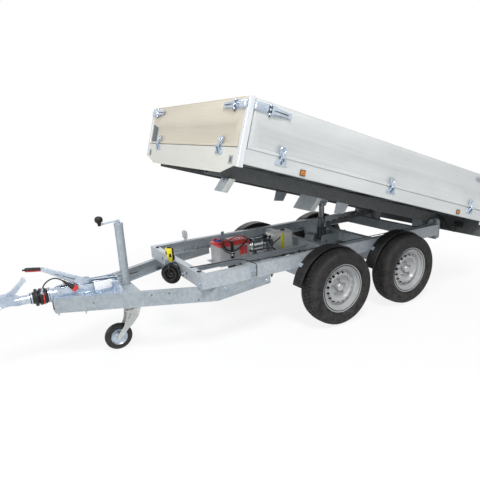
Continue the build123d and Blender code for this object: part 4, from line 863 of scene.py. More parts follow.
class TRAILER_OT_handbrake(bpy.types.Operator):
    """Make the handbrake lever with its sector, spring and two-colour grip"""

    bl_idname = "trailer.handbrake"
    bl_label = "Handbrake"

    def execute(self, context):
        px, pz = LEVER_PIVOT
        ex, ez = LEVER_ELBOW
        work = bmesh.new()
        outline = [(px - 40, pz - 20), (px - 44, pz + 6), (px - 30, pz + 16), (px, pz + 22),
                   (ex - 8, ez + 8), (ex + 10, ez + 7), (ex + 12, ez - 12), (ex - 18, ez - 30),
                   (px + 60, pz - 8), (px + 28, pz - 24)]
        for y0 in (LEVER_Y - 12, LEVER_Y + 9):
            add(work, plate_xz(outline, y0, y0 + 3, 0.6))
        add(work, plate_xz([(px - 30, pz + 16), (px, pz + 22), (ex - 8, ez + 8), (ex - 8, ez + 5),
                            (px, pz + 19), (px - 30, pz + 13)], LEVER_Y - 11, LEVER_Y + 11))
        # A dark sheet on the outer plate: painted shade standing for the slot.
        slot = [(px + 70, pz + 34), (px + 190, pz + 96), (px + 192, pz + 92), (px + 74, pz + 29)]
        add(work, plate_xz(slot, LEVER_Y + 12, LEVER_Y + 12.8), 2)
        foot = [(px - 46, 495.3), (px - 30, pz + 8), (px - 10, pz + 16), (px + 12, pz + 14),
                (px + 28, pz + 2), (px + 46, 495.3)]
        for y0 in (LEVER_Y - 8, LEVER_Y + 5):
            add(work, plate_xz(foot, y0, y0 + 3, 0.5))
        sector = lathe([(-2.5, 22), (-2.5, 32), (2.5, 32), (2.5, 22)], (px, LEVER_Y, pz), LEFT, 48, True)
        add(work, cut(sector, (px, LEVER_Y, pz - 8), (0.25, 0, -1)), 0)
        teeth = block(-1.6, 1.6, LEVER_Y - 2.4, LEVER_Y + 2.4, 30, 34)
        add(work, teeth, 0, [at(px, 0, pz) @ turn(-64 + 8 * i, "Y") for i in range(14)])
        for x, z, size in ((px, pz, 17), (px + 150, pz + 76, 10), (ex - 22, ez - 10, 10),
                           (px - 26, 512, 10), (px + 26, 512, 10)):
            add(work, bolt(7, 4, size), 0, [facing((x, LEVER_Y + 12, z), LEFT),
                                            facing((x, LEVER_Y - 12, z), RIGHT)])
        add(work, bent_rod([(px - 20, 30, pz + 2), (px - 90, 32, pz - 6), (1912, 34, 552)], 5), 0)
        add(work, rod((px - 100, 31.5, pz - 7), (px - 128, 32, pz - 8), 9, 6), 0)
        start, end = Vector((ex + 8.5, LEVER_Y, ez - 2)), Vector((GRIP_END[0], LEVER_Y, GRIP_END[1]))
        aim = (end - start).normalized()
        length = (end - start).length
        grip = [(0, 0), (0, 12.5), (2, 14.4), (10, 14.2), (length / 2, 15), (length - 12, 14.6),
                (length - 3, 13.6), (length, 11), (length, 0)]
        up = Vector((-aim.z, 0, aim.x))
        add(work, cut(lathe(grip, start, aim, 36), start - up * 2.5, -up), 1)
        add(work, cut(lathe([(a + 2 if a == 0 else a - 1, max(r - 0.5, 0)) for a, r in grip], start, aim,
                            36), start - up * 2.4, up), 3)
        for i in range(9):
            place = start + aim * (14 + i * 8.5)
            add(work, cut(lathe([(-1.6, 13), (-1.2, 15.6), (1.2, 15.6), (1.6, 13)], place, aim, 30, True),
                          place - up * 2.0, -up), 1)
        add(work, lathe([(-2, 0), (-2, 6), (12, 6), (14, 4.5), (14, 0)], end, aim, 20), 1)
        finish("handbrake_parts", work, "chassis", ["bright_zinc", "black_plastic", "dark_steel",
                                                            "red_plastic"], hides=("handbrake",))
        return {"FINISHED"}


class TRAILER_OT_hitch_details(bpy.types.Operator):
    """Make the bolts, cheeks, cable, plate and welds of the coupling and the overrun housing"""

    bl_idname = "trailer.hitch_details"
    bl_label = "Hitch Details"

    def execute(self, context):
        work = bmesh.new()
        for x, z in ((2515, HITCH_Z), (2556, HITCH_Z + 4)):
            add(work, bolt(8, 5, 15), 0, [facing((x, 24 if x < 2550 else 26.5, z), LEFT),
                                          facing((x, -24 if x < 2550 else -26.5, z), RIGHT)])
        add(work, bolt(5, 3, 11), 0, both_sides(2595, 12, 557))
        add(work, lathe([(-18, 36), (-18, 39.4), (-11, 39.4), (-9, 37.6)], (2665, 0, HITCH_Z), UP, 40), 0)
        add(work, lathe([(-20, 13.4), (-17, 15), (17, 15), (20, 13.4), (20, 0)], (2502, 0, 639), LEFT, 24),
            0)
        for x, y in ((2329, 40), (2166, 118)):
            add(work, bolt(9, 8, 16), 0, [at(x, y, 494), at(x, -y, 494)])
            add(work, bolt(9, 14, 16), 0, [at(x, y, 382) @ turn(180, "X"), at(x, -y, 382) @ turn(180, "X")])
        for x, y in ((1960, 150), (2050, 118)):
            add(work, bolt(8, 6, 14), 0, [at(x, y, 494), at(x, -y, 494)])
        cheek = [(2330, 494.2), (2318, 540), (2240, 552), (2060, 546), (1915, 540), (1915, 494.2)]
        left = prism([(x, 0, z) for x, z in cheek], (0, 3.5, 0), 0.6)
        for vert in left.verts:
            vert.co.y += 44 + (2330 - vert.co.x) * 0.10
        add(work, left, 0, BOTH)
        for x in (2300, 2180, 2060, 1950):
            y = 48.5 + (2330 - x) * 0.10
            add(work, bolt(5, 3, 10), 0, both_sides(x, y, 520))
        for x in (2286, 2220, 2040, 1975):
            add(work, bolt(4, 2, 9), 0, [at(x - 6, 0, 551)])
        add(work, lathe([(0, 0), (0, 5), (6, 4.4), (8, 3), (11, 3.4), (13, 0)], (2258, 0, 551), UP, 14), 0)
        stand = [(1978, 116), (2086, 116), (2086, 118.5), (1978, 118.5)]
        add(work, prism([(x, y, 494) for x, y in stand], (0, 0, 74), 0.4), 0)
        add(work, block(1972, 2088, 119, 121.5, 507, 568, 0.8), 2)
        add(work, block(1975.5, 2084.5, 121.4, 122, 510, 565, 0.2), 3)
        for x in (1980, 2080):
            for z in (513, 562):
                add(work, ball((x, 122, z), 2.6, (1, 0.6, 1)), 0)
        add(work, bent_rod([(2290, 20, 554), (2200, 34, 556), (2100, 26, 559), (1990, 38, 553),
                            (1914, 30, 545)], 3.4), 1)
        add(work, bent_rod([(1911, -46, 530), (1880, -60, 522), (1840, -118, 500), (1780, -150, 492),
                            (1700, -160, 493)], 4), 1)
        for x in (2335, 2130, 1925):
            bead = rod((x - 16, 0, 0), (x + 16, 0, 0), 2.6, 8)
            y = 46 + (2330 - x) * 0.10 + 4.5
            add(work, bead, 0, [at(0, y, 494.4), at(0, -y, 494.4)])
        finish("hitch_parts", work, "chassis", ["bright_zinc", "black_rubber",
                                                        "pale_plastic", "blank_plate"])
        return {"FINISHED"}


CRANK_REACH = 128.0


class TRAILER_OT_jockey(bpy.types.Operator):
    """Make the jockey wheel's crank, knob, cap, tyre, rim, fork details and clamp handle"""

    bl_idname = "trailer.jockey"
    bl_label = "Jockey Wheel"

    def execute(self, context):
        x, y, top = JOCKEY_X, JOCKEY_Y, 934.3
        work = bmesh.new()
        add(work, lathe([(0, 0), (0, 12), (8, 12), (9, 10), (22, 10), (24, 8), (24, 0)], (x, y, top),
                        UP, 24))
        add(work, bent_rod([(x - 6, y, top + 14), (x + 30, y, top + 16), (x + CRANK_REACH - 30, y, top + 8),
                            (x + CRANK_REACH - 4, y, top + 4), (x + CRANK_REACH, y, top + 14),
                            (x + CRANK_REACH, y, top + 44)], 6.5, 3, 8))
        add(work, bolt(5, 3, 11), 0, [facing((x, y + 11, top + 13), LEFT)])
        knob = [(-4, 0), (-4, 10), (8, 11), (18, 15), (25, 24),
                (32, 27), (46, 27), (56, 22), (62, 13), (64, 0)]
        add(work, lathe(knob, (x + CRANK_REACH, y, top), UP, 32), 1)
        finish("jockey_crank_parts", work, "jockey_column",
               ["bright_zinc", "black_plastic"], hides=("jockey_crank",))
        work = bmesh.new()
        cap = [(-16, 30.2), (-16, 31.8), (2, 31.8), (4.2, 30), (4.2, 22)]
        add(work, lathe(cap, (x, y, 930), UP, 40))
        add(work, rod((x, y - 29, 900), (x, y - 34, 900), 6, 12))
        finish("jockey_tube_parts", work, "jockey_column", ["galvanised"])
        work = bmesh.new()
        add(work, bent_rod([(x - 56, y - 74, 421), (x - 40, y - 74, 423), (x, y - 74, 428),
                            (x + 40, y - 74, 433), (x + 56, y - 74, 435)], 5.2))
        add(work, ball((x - 57, y - 74, 421), 7.5))
        add(work, ball((x + 57, y - 74, 435), 7.5))
        add(work, rod((x, y - 38, 428), (x, y - 84, 428), 8.5, 20, edge=0.8))
        add(work, bolt(9, 6, 15), 0, [facing((x - 28, y - 2, 481.7), UP),
                                      facing((x + 28, y - 2, 481.7), UP)])
        finish("jockey_clamp_parts", work, "chassis", ["bright_zinc"])
        hub = (JOCKEY_HUB_X, JOCKEY_Y, 100.0)
        half, rim_r, tyre_r = 25.0, 58.0, 100.0
        work = bmesh.new()
        tyre = [(-half + 4, rim_r + 0.4), (-half + 1, rim_r + 3), (-half, rim_r + 14),
                (-half + 0.8, rim_r + 22), (-half + 4, tyre_r - 12), (-half + 9, tyre_r - 4.5),
                (-half + 16, tyre_r - 0.8), (-8, tyre_r)]
        rubber = tyre + [(-a, r) for a, r in reversed(tyre)]
        add(work, lathe(rubber, hub, LEFT, 64, True))
        for along in (-6, 6):
            add(work, lathe([(along - 1.4, tyre_r - 0.3), (along, tyre_r), (along + 1.4, tyre_r - 0.3)],
                            hub, LEFT, 64))
        side = [(7, 7.6), (half - 4, 8), (half - 4, 15), (half - 7, 17), (12, 20), (9, 26), (10, 40),
                (half - 8, rim_r - 6), (half - 4, rim_r - 2), (half - 1.5, rim_r + 1.6),
                (half - 2.4, rim_r + 2.6), (half - 6, rim_r + 0.3)]
        add(work, lathe(side + [(-a, r) for a, r in reversed(side)], hub, LEFT, 56, True), 1)
        for sign in (1, -1):
            for i in range(6):
                place = at(*hub) @ turn(60 * i + 15, "Y")
                add(work, ball((0, sign * 10.4, 33), 3.4, (1, 0.45, 1)), 1, [place])
        finish("jockey_wheel_parts", work, "jockey_roller",
               ["black_rubber", "bright_zinc"], hides=("jockey_wheel",))
        work = bmesh.new()
        for sign in (1, -1):
            out = y + sign * 36
            add(work, bolt(9, 5, 17), 0, [facing((hub[0], out, hub[2]), (0, sign, 0))])
            for dx, z in ((6, 262), (22, 232), (14, 246)):
                add(work, lathe([(0, 2.2), (0.5, 4.6), (0.1, 5.2)],
                                (x + dx, out + sign * 0.2, z), (0, sign, 0), 16), 1)
            rib = [(x + 30, 284), (x + 31, 250), (x + 56, 176), (x + 84, 140)]
            add(work, bent_rod([(a, out + sign * 0.4, z) for a, z in rib], 1.6), 0)
        finish("jockey_fork_parts", work, "jockey_swivel", ["fork_zinc", "dark_steel"])
        return {"FINISHED"}


# Equipment in the chassis

BATTERY = (856.0, 1122.0, -52.0, 122.0, 495.0, 667.0)
TANK = (396.0, 610.0, -30.0, 88.0, 495.0, 663.0)
PUMP_Y = 72.0
PUMP_Z = 599.0
REMOTE = (1500.0, 15.0)
COIL = (1537.0, 126.0, 518.0)


class TRAILER_OT_battery(bpy.types.Operator):
    """Make the battery with its red lid, posts, strap and leads"""

    bl_idname = "trailer.battery"
    bl_label = "Battery"

    def execute(self, context):
        x0, x1, y0, y1, z0, z1 = BATTERY
        work = bmesh.new()
        add(work, block(x0 + 1, x1 - 1, y0 + 1, y1 - 1, z0 + 0.2, z1 - 28, 4))
        add(work, block(x0 - 2, x1 + 2, y0 - 2, y1 + 2, z0 + 0.2, z0 + 12, 2))
        for x in (x0 + 46, x0 + 92, x0 + 138, x0 + 184, x0 + 230):
            add(work, block(x - 1.5, x + 1.5, y0 - 1, y1 + 1, z0 + 10, z1 - 30, 0.8))
        add(work, block(x0 - 3, x1 + 3, y0 - 3, y1 + 3, z1 - 28, z1 - 8, 3), 1)
        add(work, block(x0 + 6, x1 - 52, y0 + 8, y1 - 8, z1 - 9, z1, 3), 1)
        add(work, block(x1 - 50, x1 - 4, y0 + 46, y1 - 46, z1 - 9, z1 - 1, 2), 1)
        for i in range(6):
            cap = [(-1, 0), (-1, 11), (1.5, 11), (2.5, 9.5), (2.5, 5), (1, 4), (1, 0)]
            add(work, lathe(cap, (x0 + 30 + i * 31, 35, z1), UP, 24), 1)
        add(work, block(x0 + 24, x0 + 96, y1 - 1, y1 + 0.6, z0 + 60, z0 + 132, 0.3), 1)
        for y, paint in ((y0 + 34, 4), (40, 2)):
            add(work, lathe([(-8, 0), (-8, 10), (6, 9), (14, 8), (14, 0)], (x1 - 28, y, z1), UP, 24), 3)
            add(work, block(x1 - 66, x1 - 14, y - 18, y + 18, z1 - 1, z1 + 18, 5), paint)
            add(work, bolt(6, 4, 10), 3, [at(x1 - 40, y, z1 + 16)])
        strap = (1004, 1030)
        add(work, block(*strap, y1 + 2.6, y1 + 4.6, z0 + 2, z1 + 4), 5)
        add(work, block(*strap, y0 - 4.6, y0 - 2.6, z0 + 2, z1 + 4), 5)
        add(work, block(*strap, y0 - 4.6, y1 + 4.6, z1 + 2.5, z1 + 4.5), 5)
        add(work, block(1000, 1034, y1 + 3, y1 + 9, 560, 590, 1.5), 3)
        add(work, bent_rod([(1072, 50, 682), (1088, 108, 686), (1096, 132, 668), (1082, 134, 628),
                            (1040, 131, 600), (990, 131, 598), (940, 131, 620), (896, 130, 652),
                            (866, 118, 672), (846, 96, 668), (830, 84, 655)], 5.2, 3, 6), 5)
        add(work, bent_rod([(1078, 50, 678), (1104, 122, 676), (1106, 133, 640), (1078, 132, 606),
                            (1040, 131, 582), (1000, 131, 576)], 4.0, 3, 6), 5)
        add(work, bent_rod([(1094, -18, 680), (1120, 0, 694), (1140, 40, 690), (1134, 92, 676),
                            (1100, 118, 682), (1040, 96, 680), (980, 60, 684), (920, 40, 686),
                            (870, 44, 684), (836, 56, 660)], 4.6, 3, 6), 4)
        finish("battery_parts", work, "chassis", ["grey_plastic", "red_plastic",
                "blue_plastic", "steel", "red_plastic", "black_rubber"], hides=("battery",))
        return {"FINISHED"}


class TRAILER_OT_power_pack(bpy.types.Operator):
    """Make the pump's motor, valves and pipes and the oil tank"""

    bl_idname = "trailer.power_pack"
    bl_label = "Pump And Tank"

    def execute(self, context):
        y, z = PUMP_Y, PUMP_Z
        work = bmesh.new()
        shell = [(700, 0), (700, 53), (702, 55), (716, 55), (717, 56), (730, 56), (731, 54.6), (812, 54.6),
                 (813, 56), (826, 56), (828, 54), (840, 52), (845, 47),
                 (846, 40), (853, 39), (853, 12), (849, 0)]
        add(work, lathe(shell, (0, y, z), AHEAD, 64))
        for x in (722, 819):
            add(work, lathe([(x - 4, 55), (x - 4, 57.4), (x + 4, 57.4), (x + 4, 55)], (0, y, z), AHEAD,
                            64, True), 1)
        for turned in (28, -62):
            add(work, lathe([(0, 0), (0, 9), (5, 9), (6, 5), (16, 5), (17, 0)], (0, 0, 55), UP, 16), 2,
                [at(800, y, z) @ turn(-turned, "X")])
        for i in range(4):
            add(work, bolt(5, 3, 9), 2, [at(853, y, z) @ turn(90 * i + 45, "X") @ at(0,
                                                                                     0, 30) @ turn(90, "Y")])
        add(work, block(626, 699, y - 48, y + 48, z - 48, z + 30, 3), 3)
        for x, dy in ((642, 26), (668, 34), (648, -20), (680, -6)):
            add(work, rod((x, y + dy, z + 28), (x, y + dy, z + 40), 11, 6, edge=0.8), 2)
            add(work, lathe([(40, 9), (56, 9), (57, 8), (62, 8), (62, 0)], (x, y + dy, z), UP, 20), 1)
        for x, dz in ((640, 12), (664, -8), (686, 18), (650, -30)):
            add(work, rod((x, y + 47, z + dz), (x, y + 58, z + dz), 10, 6, edge=0.8), 2)
            add(work, lathe([(57, 7), (66, 7), (68, 5), (68, 0)], (x, y, z + dz), LEFT, 18), 3)
        coil = [(0, 8), (0, 17), (2, 18), (26, 18), (28, 17), (28, 8)]
        add(work, lathe(coil, (664, y - 20, z + 30), UP, 28, True), 1)
        add(work, lathe(coil, (686, y + 62, z + 24), UP, 28, True), 1)
        add(work, rod((686, y + 62, z + 14), (686, y + 62, z + 60), 7, 16, edge=1), 2)
        add(work, rod((686, y + 46, z + 18), (686, y + 62, z + 18), 7, 16), 2)
        add(work, block(660, 800, y - 40, y + 40, 495.2, 502, 1), 0)
        add(work, block(664, 672, y - 36, y + 36, 500, z - 44, 1), 0)
        add(work, block(780, 788, y - 36, y + 36, 500, z - 50, 1), 0)
        add(work, lathe([(610.2, 0), (610.2, 26), (616, 28), (627, 28), (627, 0)], (0, y - 32, z),
                        AHEAD, 32), 3)
        add(work, bent_rod([(650, y + 56, z - 30), (650, y + 84, z - 34), (620, y + 90, z - 60),
                            (560, y + 60, z - 86), (540, y + 50, 474), (440, y + 24, 466), (360, 70, 466),
                            (320, 60, 480), (277, 60, 500)], 7.5, 3, 6), 1)
        add(work, rod((276, 60, 500), (296, 60, 494), 11, 6, edge=1), 2)
        add(work, bent_rod([(664, y + 66, z - 8), (664, y + 92, z - 6), (640, y + 96, z + 20),
                            (600, y + 84, z + 30), (560, y + 60, z + 40)], 4.5), 1)
        add(work, bent_rod([(680, y - 6, z + 62), (682, y + 6, z + 78), (740, y + 16, z + 74),
                            (790, y + 20, z + 66), (800, y + 26, z + 56)], 3.2), 1)
        finish("pump_parts", work, "chassis", ["steel", "black_rubber", "bright_zinc",
                                                        "dark_steel"], hides=("hydraulic_pump",))
        x0, x1, y0, y1, z0, z1 = TANK
        work = bmesh.new()
        tank = bmesh.new()
        bmesh.ops.create_cube(tank, size=1, matrix=at((x0 + x1) / 2, (y0 + y1) / 2,
                                                      (z0 + z1) / 2 + 0.1) @ Matrix.Diagonal((x1 - x0,
                y1 - y0, z1 - z0 - 0.2, 1)))
        upright = [e for e in tank.edges if abs(e.verts[0].co.z - e.verts[1].co.z) > 10]
        bmesh.ops.bevel(tank, geom=upright, offset=18, offset_type="OFFSET", affect="EDGES",
                        segments=6, profile=0.5, material=-1)
        add(work, soften(tank, 6, 3, 0.9))
        middle = (z0 + z1) / 2
        add(work, block(x0 - 0.8, x1 + 0.8, y0 + 18, y1 - 18, middle - 1.5, middle + 1.5, 0.8), 0)
        add(work, block(x0 + 18, x1 - 18, y0 - 0.8, y1 + 0.8, middle - 1.5, middle + 1.5, 0.8), 0)
        add(work, block(492, 528, y1 - 1, y1 + 1.2, 520, 657, 0.5), 1)
        cap = [(-2, 0), (-2, 22), (1, 22), (1, 19), (3, 20), (7.5, 20), (8, 18), (8, 0)]
        add(work, lathe(cap, (x0 + 60, y0 + 40, z1), UP, 40), 2)
        add(work, block(1.5, 18, -1.6, 1.6, 2, 9, 0.8), 2, [at(x0 + 60, y0 + 40,
                                                               z1) @ turn(a, "Z") for a in (20, 200)])
        finish("tank_parts", work, "chassis", ["pale_plastic", "strip_yellow",
                                                                "black_plastic"], hides=("oil_tank",))
        return {"FINISHED"}


def wire_loop(radius, reach, sides):
    """The section of a wire that runs round an axis at the given reach."""
    turns = [math.tau * i / sides for i in range(sides)]
    return [(radius * math.sin(a), reach + radius * math.cos(a)) for a in turns]


class TRAILER_OT_remote(bpy.types.Operator):
    """Make the hand remote, its holder's screws and its wound curly lead"""

    bl_idname = "trailer.remote"
    bl_label = "Hand Remote"

    def execute(self, context):
        x, y = REMOTE
        x0, x1 = 1470.3, 1521.5
        work = bmesh.new()
        add(work, block(x0 + 14, x1, y - 28, y + 28, 575.3, 685, 6))
        add(work, block(x0, x0 + 14.5, y - 27, y + 27, 576, 683, 4), 1)
        add(work, lathe([(-1, 0), (-1, 15), (2, 15), (3, 13), (7, 12.4), (8, 10), (8, 0)],
                        (x - 2, y, 685), UP, 28), 1)
        for z in (650, 618):
            add(work, lathe([(-1, 0), (-1, 13), (1.5, 13), (2, 11), (1.2, 10), (3.0, 9), (3.4, 0)],
                            (x1, y, z), AHEAD, 28), 1 if z > 630 else 2)
        add(work, block(x0 + 24, x1 - 10, y + 27.5, y + 28.6, 618, 646, 0.4), 1)
        add(work, lathe([(-4, 0), (-4, 9), (2, 9), (12, 6), (12, 0)], (x, y, 575), DOWN, 20), 1)
        finish("remote_parts", work, "chassis", ["yellow_plastic", "black_plastic",
                                                                   "grey_plastic"], hides=("remote",))
        work = bmesh.new()
        axis = Vector((1, 1, 0)).normalized()
        flat = Vector((-1, 1, 0)).normalized()
        centre = Vector(COIL)
        for k in range(5):
            swing = math.tau * k / 5 + 0.3
            reach, shift = 46 + 20.5 * math.cos(swing), 20.5 * math.sin(swing)
            here = centre + axis * shift
            tube = wire_loop(8.5, reach, 8)
            add(work, lathe(tube, here, axis, 48, True))
            count = int(reach * 0.8)
            wire = lathe(wire_loop(2.2, 10.6, 6), ORIGIN, flat, 12, True)
            places = [Matrix.Translation(here) @ Matrix.Rotation(math.tau * i / count, 4, axis) @ at(0, 0,
                    reach) for i in range(count)]
            add(work, wire, 0, places)
        for shift, reach in ((-9, 16), (9, 16), (0, 30)):
            tube = wire_loop(8.5, reach, 8)
            add(work, lathe(tube, centre + axis * shift, axis, 36, True))
        add(work, lathe([(-7, 36), (-7, 38.2), (7, 38.2), (7, 36)], centre + Vector((0, 0, 46)), flat,
                        32, True), 1)
        add(work, bent_rod([(x, y, 565), (x + 4, y + 6, 552), (x + 12, y + 40, 556), (1534, 116, 566),
                            (1537, 126, 562)], 5, 3), 0)
        add(work, bent_rod([(1537, 126, 586), (1524, 128, 606), (1490, 128, 592), (1478, 126, 560),
                            (1468, 124, 540)], 5, 3), 0)
        finish("remote_lead", work, "chassis",
               ["black_rubber", "black_plastic"], hides=("remote_coil",))
        work = bmesh.new()
        for dy in (-24, 24):
            add(work, bolt(4, 2, 9), 0, [facing((1470, y + dy, 505), AHEAD)])
        for dy in (-34, 34):
            edge = plate_xz([(1468, 571), (1468, 606), (1480, 590), (1522, 586), (1522, 571)],
                            y + dy - 1, y + dy + 1)
            add(work, edge, 1)
        finish("holder_parts", work, "chassis", ["bright_zinc", "galvanised"])
        return {"FINISHED"}


class TRAILER_OT_chassis_details(bpy.types.Operator):
    """Make the bolts, rubber stops, wiring and weld beads of the chassis, and dark discs of painted shade
    where holes are
    """

    bl_idname = "trailer.chassis_details"
    bl_label = "Chassis Details"

    def execute(self, context):
        work = bmesh.new()
        slope = (525 - 50) / (2350 - 1357)
        out = Vector((slope, 1, 0)).normalized()
        # Dark discs on the beams: painted shade standing for holes.
        for x, z in ((1764, 462), (1656, 466), (2116, 438), (1480, 400)):
            spot = Vector((x, 50 + (2350 - x) * slope, z))
            away = lathe([(0, 0.1), (0.4, 4.5), (0.2, 6)], spot, out, 20)
            add(work, away, 1, BOTH)
        for x, z in ((1300, 462), (1060, 455), (953, 448)):
            add(work, bolt(8, 6, 15), 0, both_sides(x, RAIL_OUT, z))
        for x in (1300, 1180, 1060, 953):
            add(work, bolt(8, 6, 15), 0, [at(x, s * 505, 494) for s in (1, -1)])
        stop = [(0, 0), (0, 13), (3, 14.5), (10, 13.6), (13.4, 9), (14, 0)]
        add(work, lathe(stop, (1441, 422.5, 586.5), UP, 28), 2, BOTH)
        for x in (375.0, -375.0):
            for dx in (-52, 52):
                for z in (530, 560):
                    add(work, bolt(9, 6, 17), 0, both_sides(x + dx, RAIL_OUT, z))
        for x, y in ((1441, 200), (1441, -200), (1441, 520), (1441, -520)):
            add(work, bolt(8, 5, 13), 0, [facing((CHASSIS_FRONT, y * 0.94, 520), AHEAD)])
        # A dark disc on the front member: painted shade standing for a hole.
        add(work, lathe([(0, 0.1), (0.4, 9), (0.2, 12)], (CHASSIS_FRONT, 250, 537), AHEAD, 24), 1, BOTH)
        for x in (1466, 1416, 275, 225, -190, -240, -790, -840):
            bead = rod((x, 477, 500), (x, 477, 574), 2.6, 8)
            add(work, bead, 0, BOTH)
        add(work, block(770, 800, -504, -496, 587, 612, 1), 0)
        add(work, rod((785, -492, 602), (785, -508, 602), 6, 6), 0)
        bundle = [(1455, 300, 592), (1300, 306, 586), (1060, 306, 585), (1050, 420, 594), (1040, 500, 593),
                  (1036, 527.6, 588), (1036, 529, 560), (1038, 528.4, 520), (1040, 527, 500)]
        add(work, bent_rod(bundle, 3.2, 3, 6), 2)
        add(work, bent_rod([(1040, 440, 592.8), (900, 452, 590.6), (600, 455, 590.6), (200, 455, 590.6),
                            (-300, 455, 590.6), (-800, 455, 590.6), (-940, 440, 590)], 3.4), 2)
        add(work, bent_rod([(780, 330, 470), (766, 300, 400), (740, 250, 352), (700, 210, 352),
                            (640, 150, 400), (600, 60, 470)], 4.2), 2)
        for x in (1050, 1082):
            add(work, bolt(5, 3, 10), 0, [facing((x, 528, 545), LEFT)])
        lip = [(1040, 590), (1092, 590), (1092, 586), (1088, 500), (1044, 500), (1040, 586)]
        add(work, plate_xz(lip, 528, 529.4, 0.4), 3)
        finish("chassis_parts", work, "chassis", ["bright_zinc", "dark_steel",
                                                          "black_rubber", "galvanised"])
        return {"FINISHED"}


GUARD_SECTION = ((527, 290), (527, 337), (626, 337), (629, 335), (629, 328),
                 (626, 328), (626, 333), (531, 333), (531, 290))


class TRAILER_OT_mudguards(bpy.types.Operator):
    """Make the four moulded mudguards with their rolled lips, inner skirts and stays"""

    bl_idname = "trailer.mudguards"
    bl_label = "Mudguards"

    def execute(self, context):
        work = bmesh.new()
        for x in (375.0, -375.0):
            centre = Vector((x + 18, 0, TYRE_R - 12))
            part = bmesh.new()
            verts = [part.verts.new(centre + Vector((radius, y, 0))) for y, radius in GUARD_SECTION]
            face = part.faces.new(verts)
            start = Matrix.Rotation(math.radians(-12), 4, "Y")
            bmesh.ops.rotate(part, cent=centre, matrix=start, verts=part.verts)
            bmesh.ops.spin(part, geom=[face], cent=centre, axis=LEFT,
                           angle=math.radians(-180), steps=40, use_duplicate=False)
            face_outward(part)
            add(work, part, 0, BOTH)
            for angle in (30, 62, 118, 150):
                place = Matrix.Translation(centre) @ turn(90 - angle, "Y")
                add(work, block(-6, 6, 528, 624, 336.5, 339.5, 1.2), 0, [place, FLIP @ place])
            for angle in (40, 140):
                place = Matrix.Translation(centre) @ turn(90 - angle, "Y")
                stay = block(-16, 16, 500, 560, 337, 341, 1)
                add(work, stay, 1, [place, FLIP @ place])
                add(work, bolt(4, 3, 11), 2, [place @ at(0, 548, 341), FLIP @ place @ at(0, 548, 341)])
        finish("guards", work, "chassis",
               ["black_plastic", "galvanised", "bright_zinc"], hides=("mudguards",))
        return {"FINISHED"}


GUIDES = ((155, 118, 479, 0.8, 480, 100), (1050, 235, 394, 0.55, 388, 118))


class TRAILER_OT_guides(bpy.types.Operator):
    """Make the pale strips of painted sunlight on the folded edges, and the weld beads and bolts of the
    centring guides under the bed
    """

    bl_idname = "trailer.guides"
    bl_label = "Bed Guides"

    def execute(self, context):
        work = bmesh.new()
        for back, width, top_out, slant, top_drop, depth in GUIDES:
            low, high = bz(480 + depth), bz(top_drop + 0.2)
            shift = slant * (high - low)
            strip = [(top_out + 2, high), (top_out - shift + 2, low),
                     (top_out - shift - 2, low), (top_out - 2, high)]
            # A pale plate on the flange's outer edge: painted sunlight on a flange under the bed.
            add(work, plate_yz(strip, bx(back + 46), bx(back) + 1, 0.8))
            seam = rod((bx(back) + 2, top_out - 10, high - 3),
                       (bx(back) + 2, top_out - width + 8, high - 3), 3, 8)
            add(work, seam, 1)
            for part in (0.35, 0.7):
                add(work, bolt(5, 3, 13), 2, [facing((bx(back) + 1, top_out - width * part, high - 16),
                                                     AHEAD)])
        finish("guide_strips", work, "bed", ["fork_zinc", "under_steel", "bright_zinc"], BED)
        return {"FINISHED"}


class TRAILER_OT_cylinder_details(bpy.types.Operator):
    """Make the gland rings, port, pins and bolts of the lifting cylinder"""

    bl_idname = "trailer.cylinder_details"
    bl_label = "Cylinder Details"

    def execute(self, context):
        up = Vector((-0.008134, 0, 0.999967))
        for body, node, radius in (("barrel", "cylinder_barrel", 52), ("stage_1", "cylinder_stage_1", 43),
                                   ("stage_2", "cylinder_stage_2", 34)):
            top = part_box(node)[1][2] * 1000
            spot = Vector((15.0, 0, 500.0)) + up * ((top - 500.0) / up.z)
            inner = {52: 43.5, 43: 34.5, 34: 25.5}[radius] + 0.3
            foot = -14 if body == "barrel" else -4.4
            ring_shape = [(foot, radius - 0.5), (foot, radius + 2), (-1.2, radius + 2), (-0.1, radius - 1),
                          (-0.1, inner), (-3, inner)]
            work = bmesh.new()
            add(work, lathe(ring_shape, spot, up, 56, True))
            if body == "barrel":
                add(work, rod((15, 50, 262), (15, 74, 262), 11, 6, edge=1), 1)
                add(work, lathe([(-6, 50), (-6, 54.5), (6, 54.5), (6, 50)],
                                Vector((15, 0, 500)) + up * -262, up, 56, True), 0)
                for s in (1, -1):
                    add(work, lathe([(76, 0), (76, 13), (79, 12), (79, 0)], (15, 0, 500), (0, s, 0), 28), 1)
            finish("gland_" + body, work, body, ["black_rubber", "bright_zinc"])
        work = bmesh.new()
        for s in (1, -1):
            for z in (505, 540, 572):
                add(work, bolt(7, 5, 13), 0, [facing((-188 + 4, s * 96, z), AHEAD)])
        finish("cradle_bolts", work, "chassis", ["bright_zinc"])
        return {"FINISHED"}


# The bed


TRIM_PAINTS = ["bright_zinc", "dark_steel", "aluminium_post", "black_plastic"]


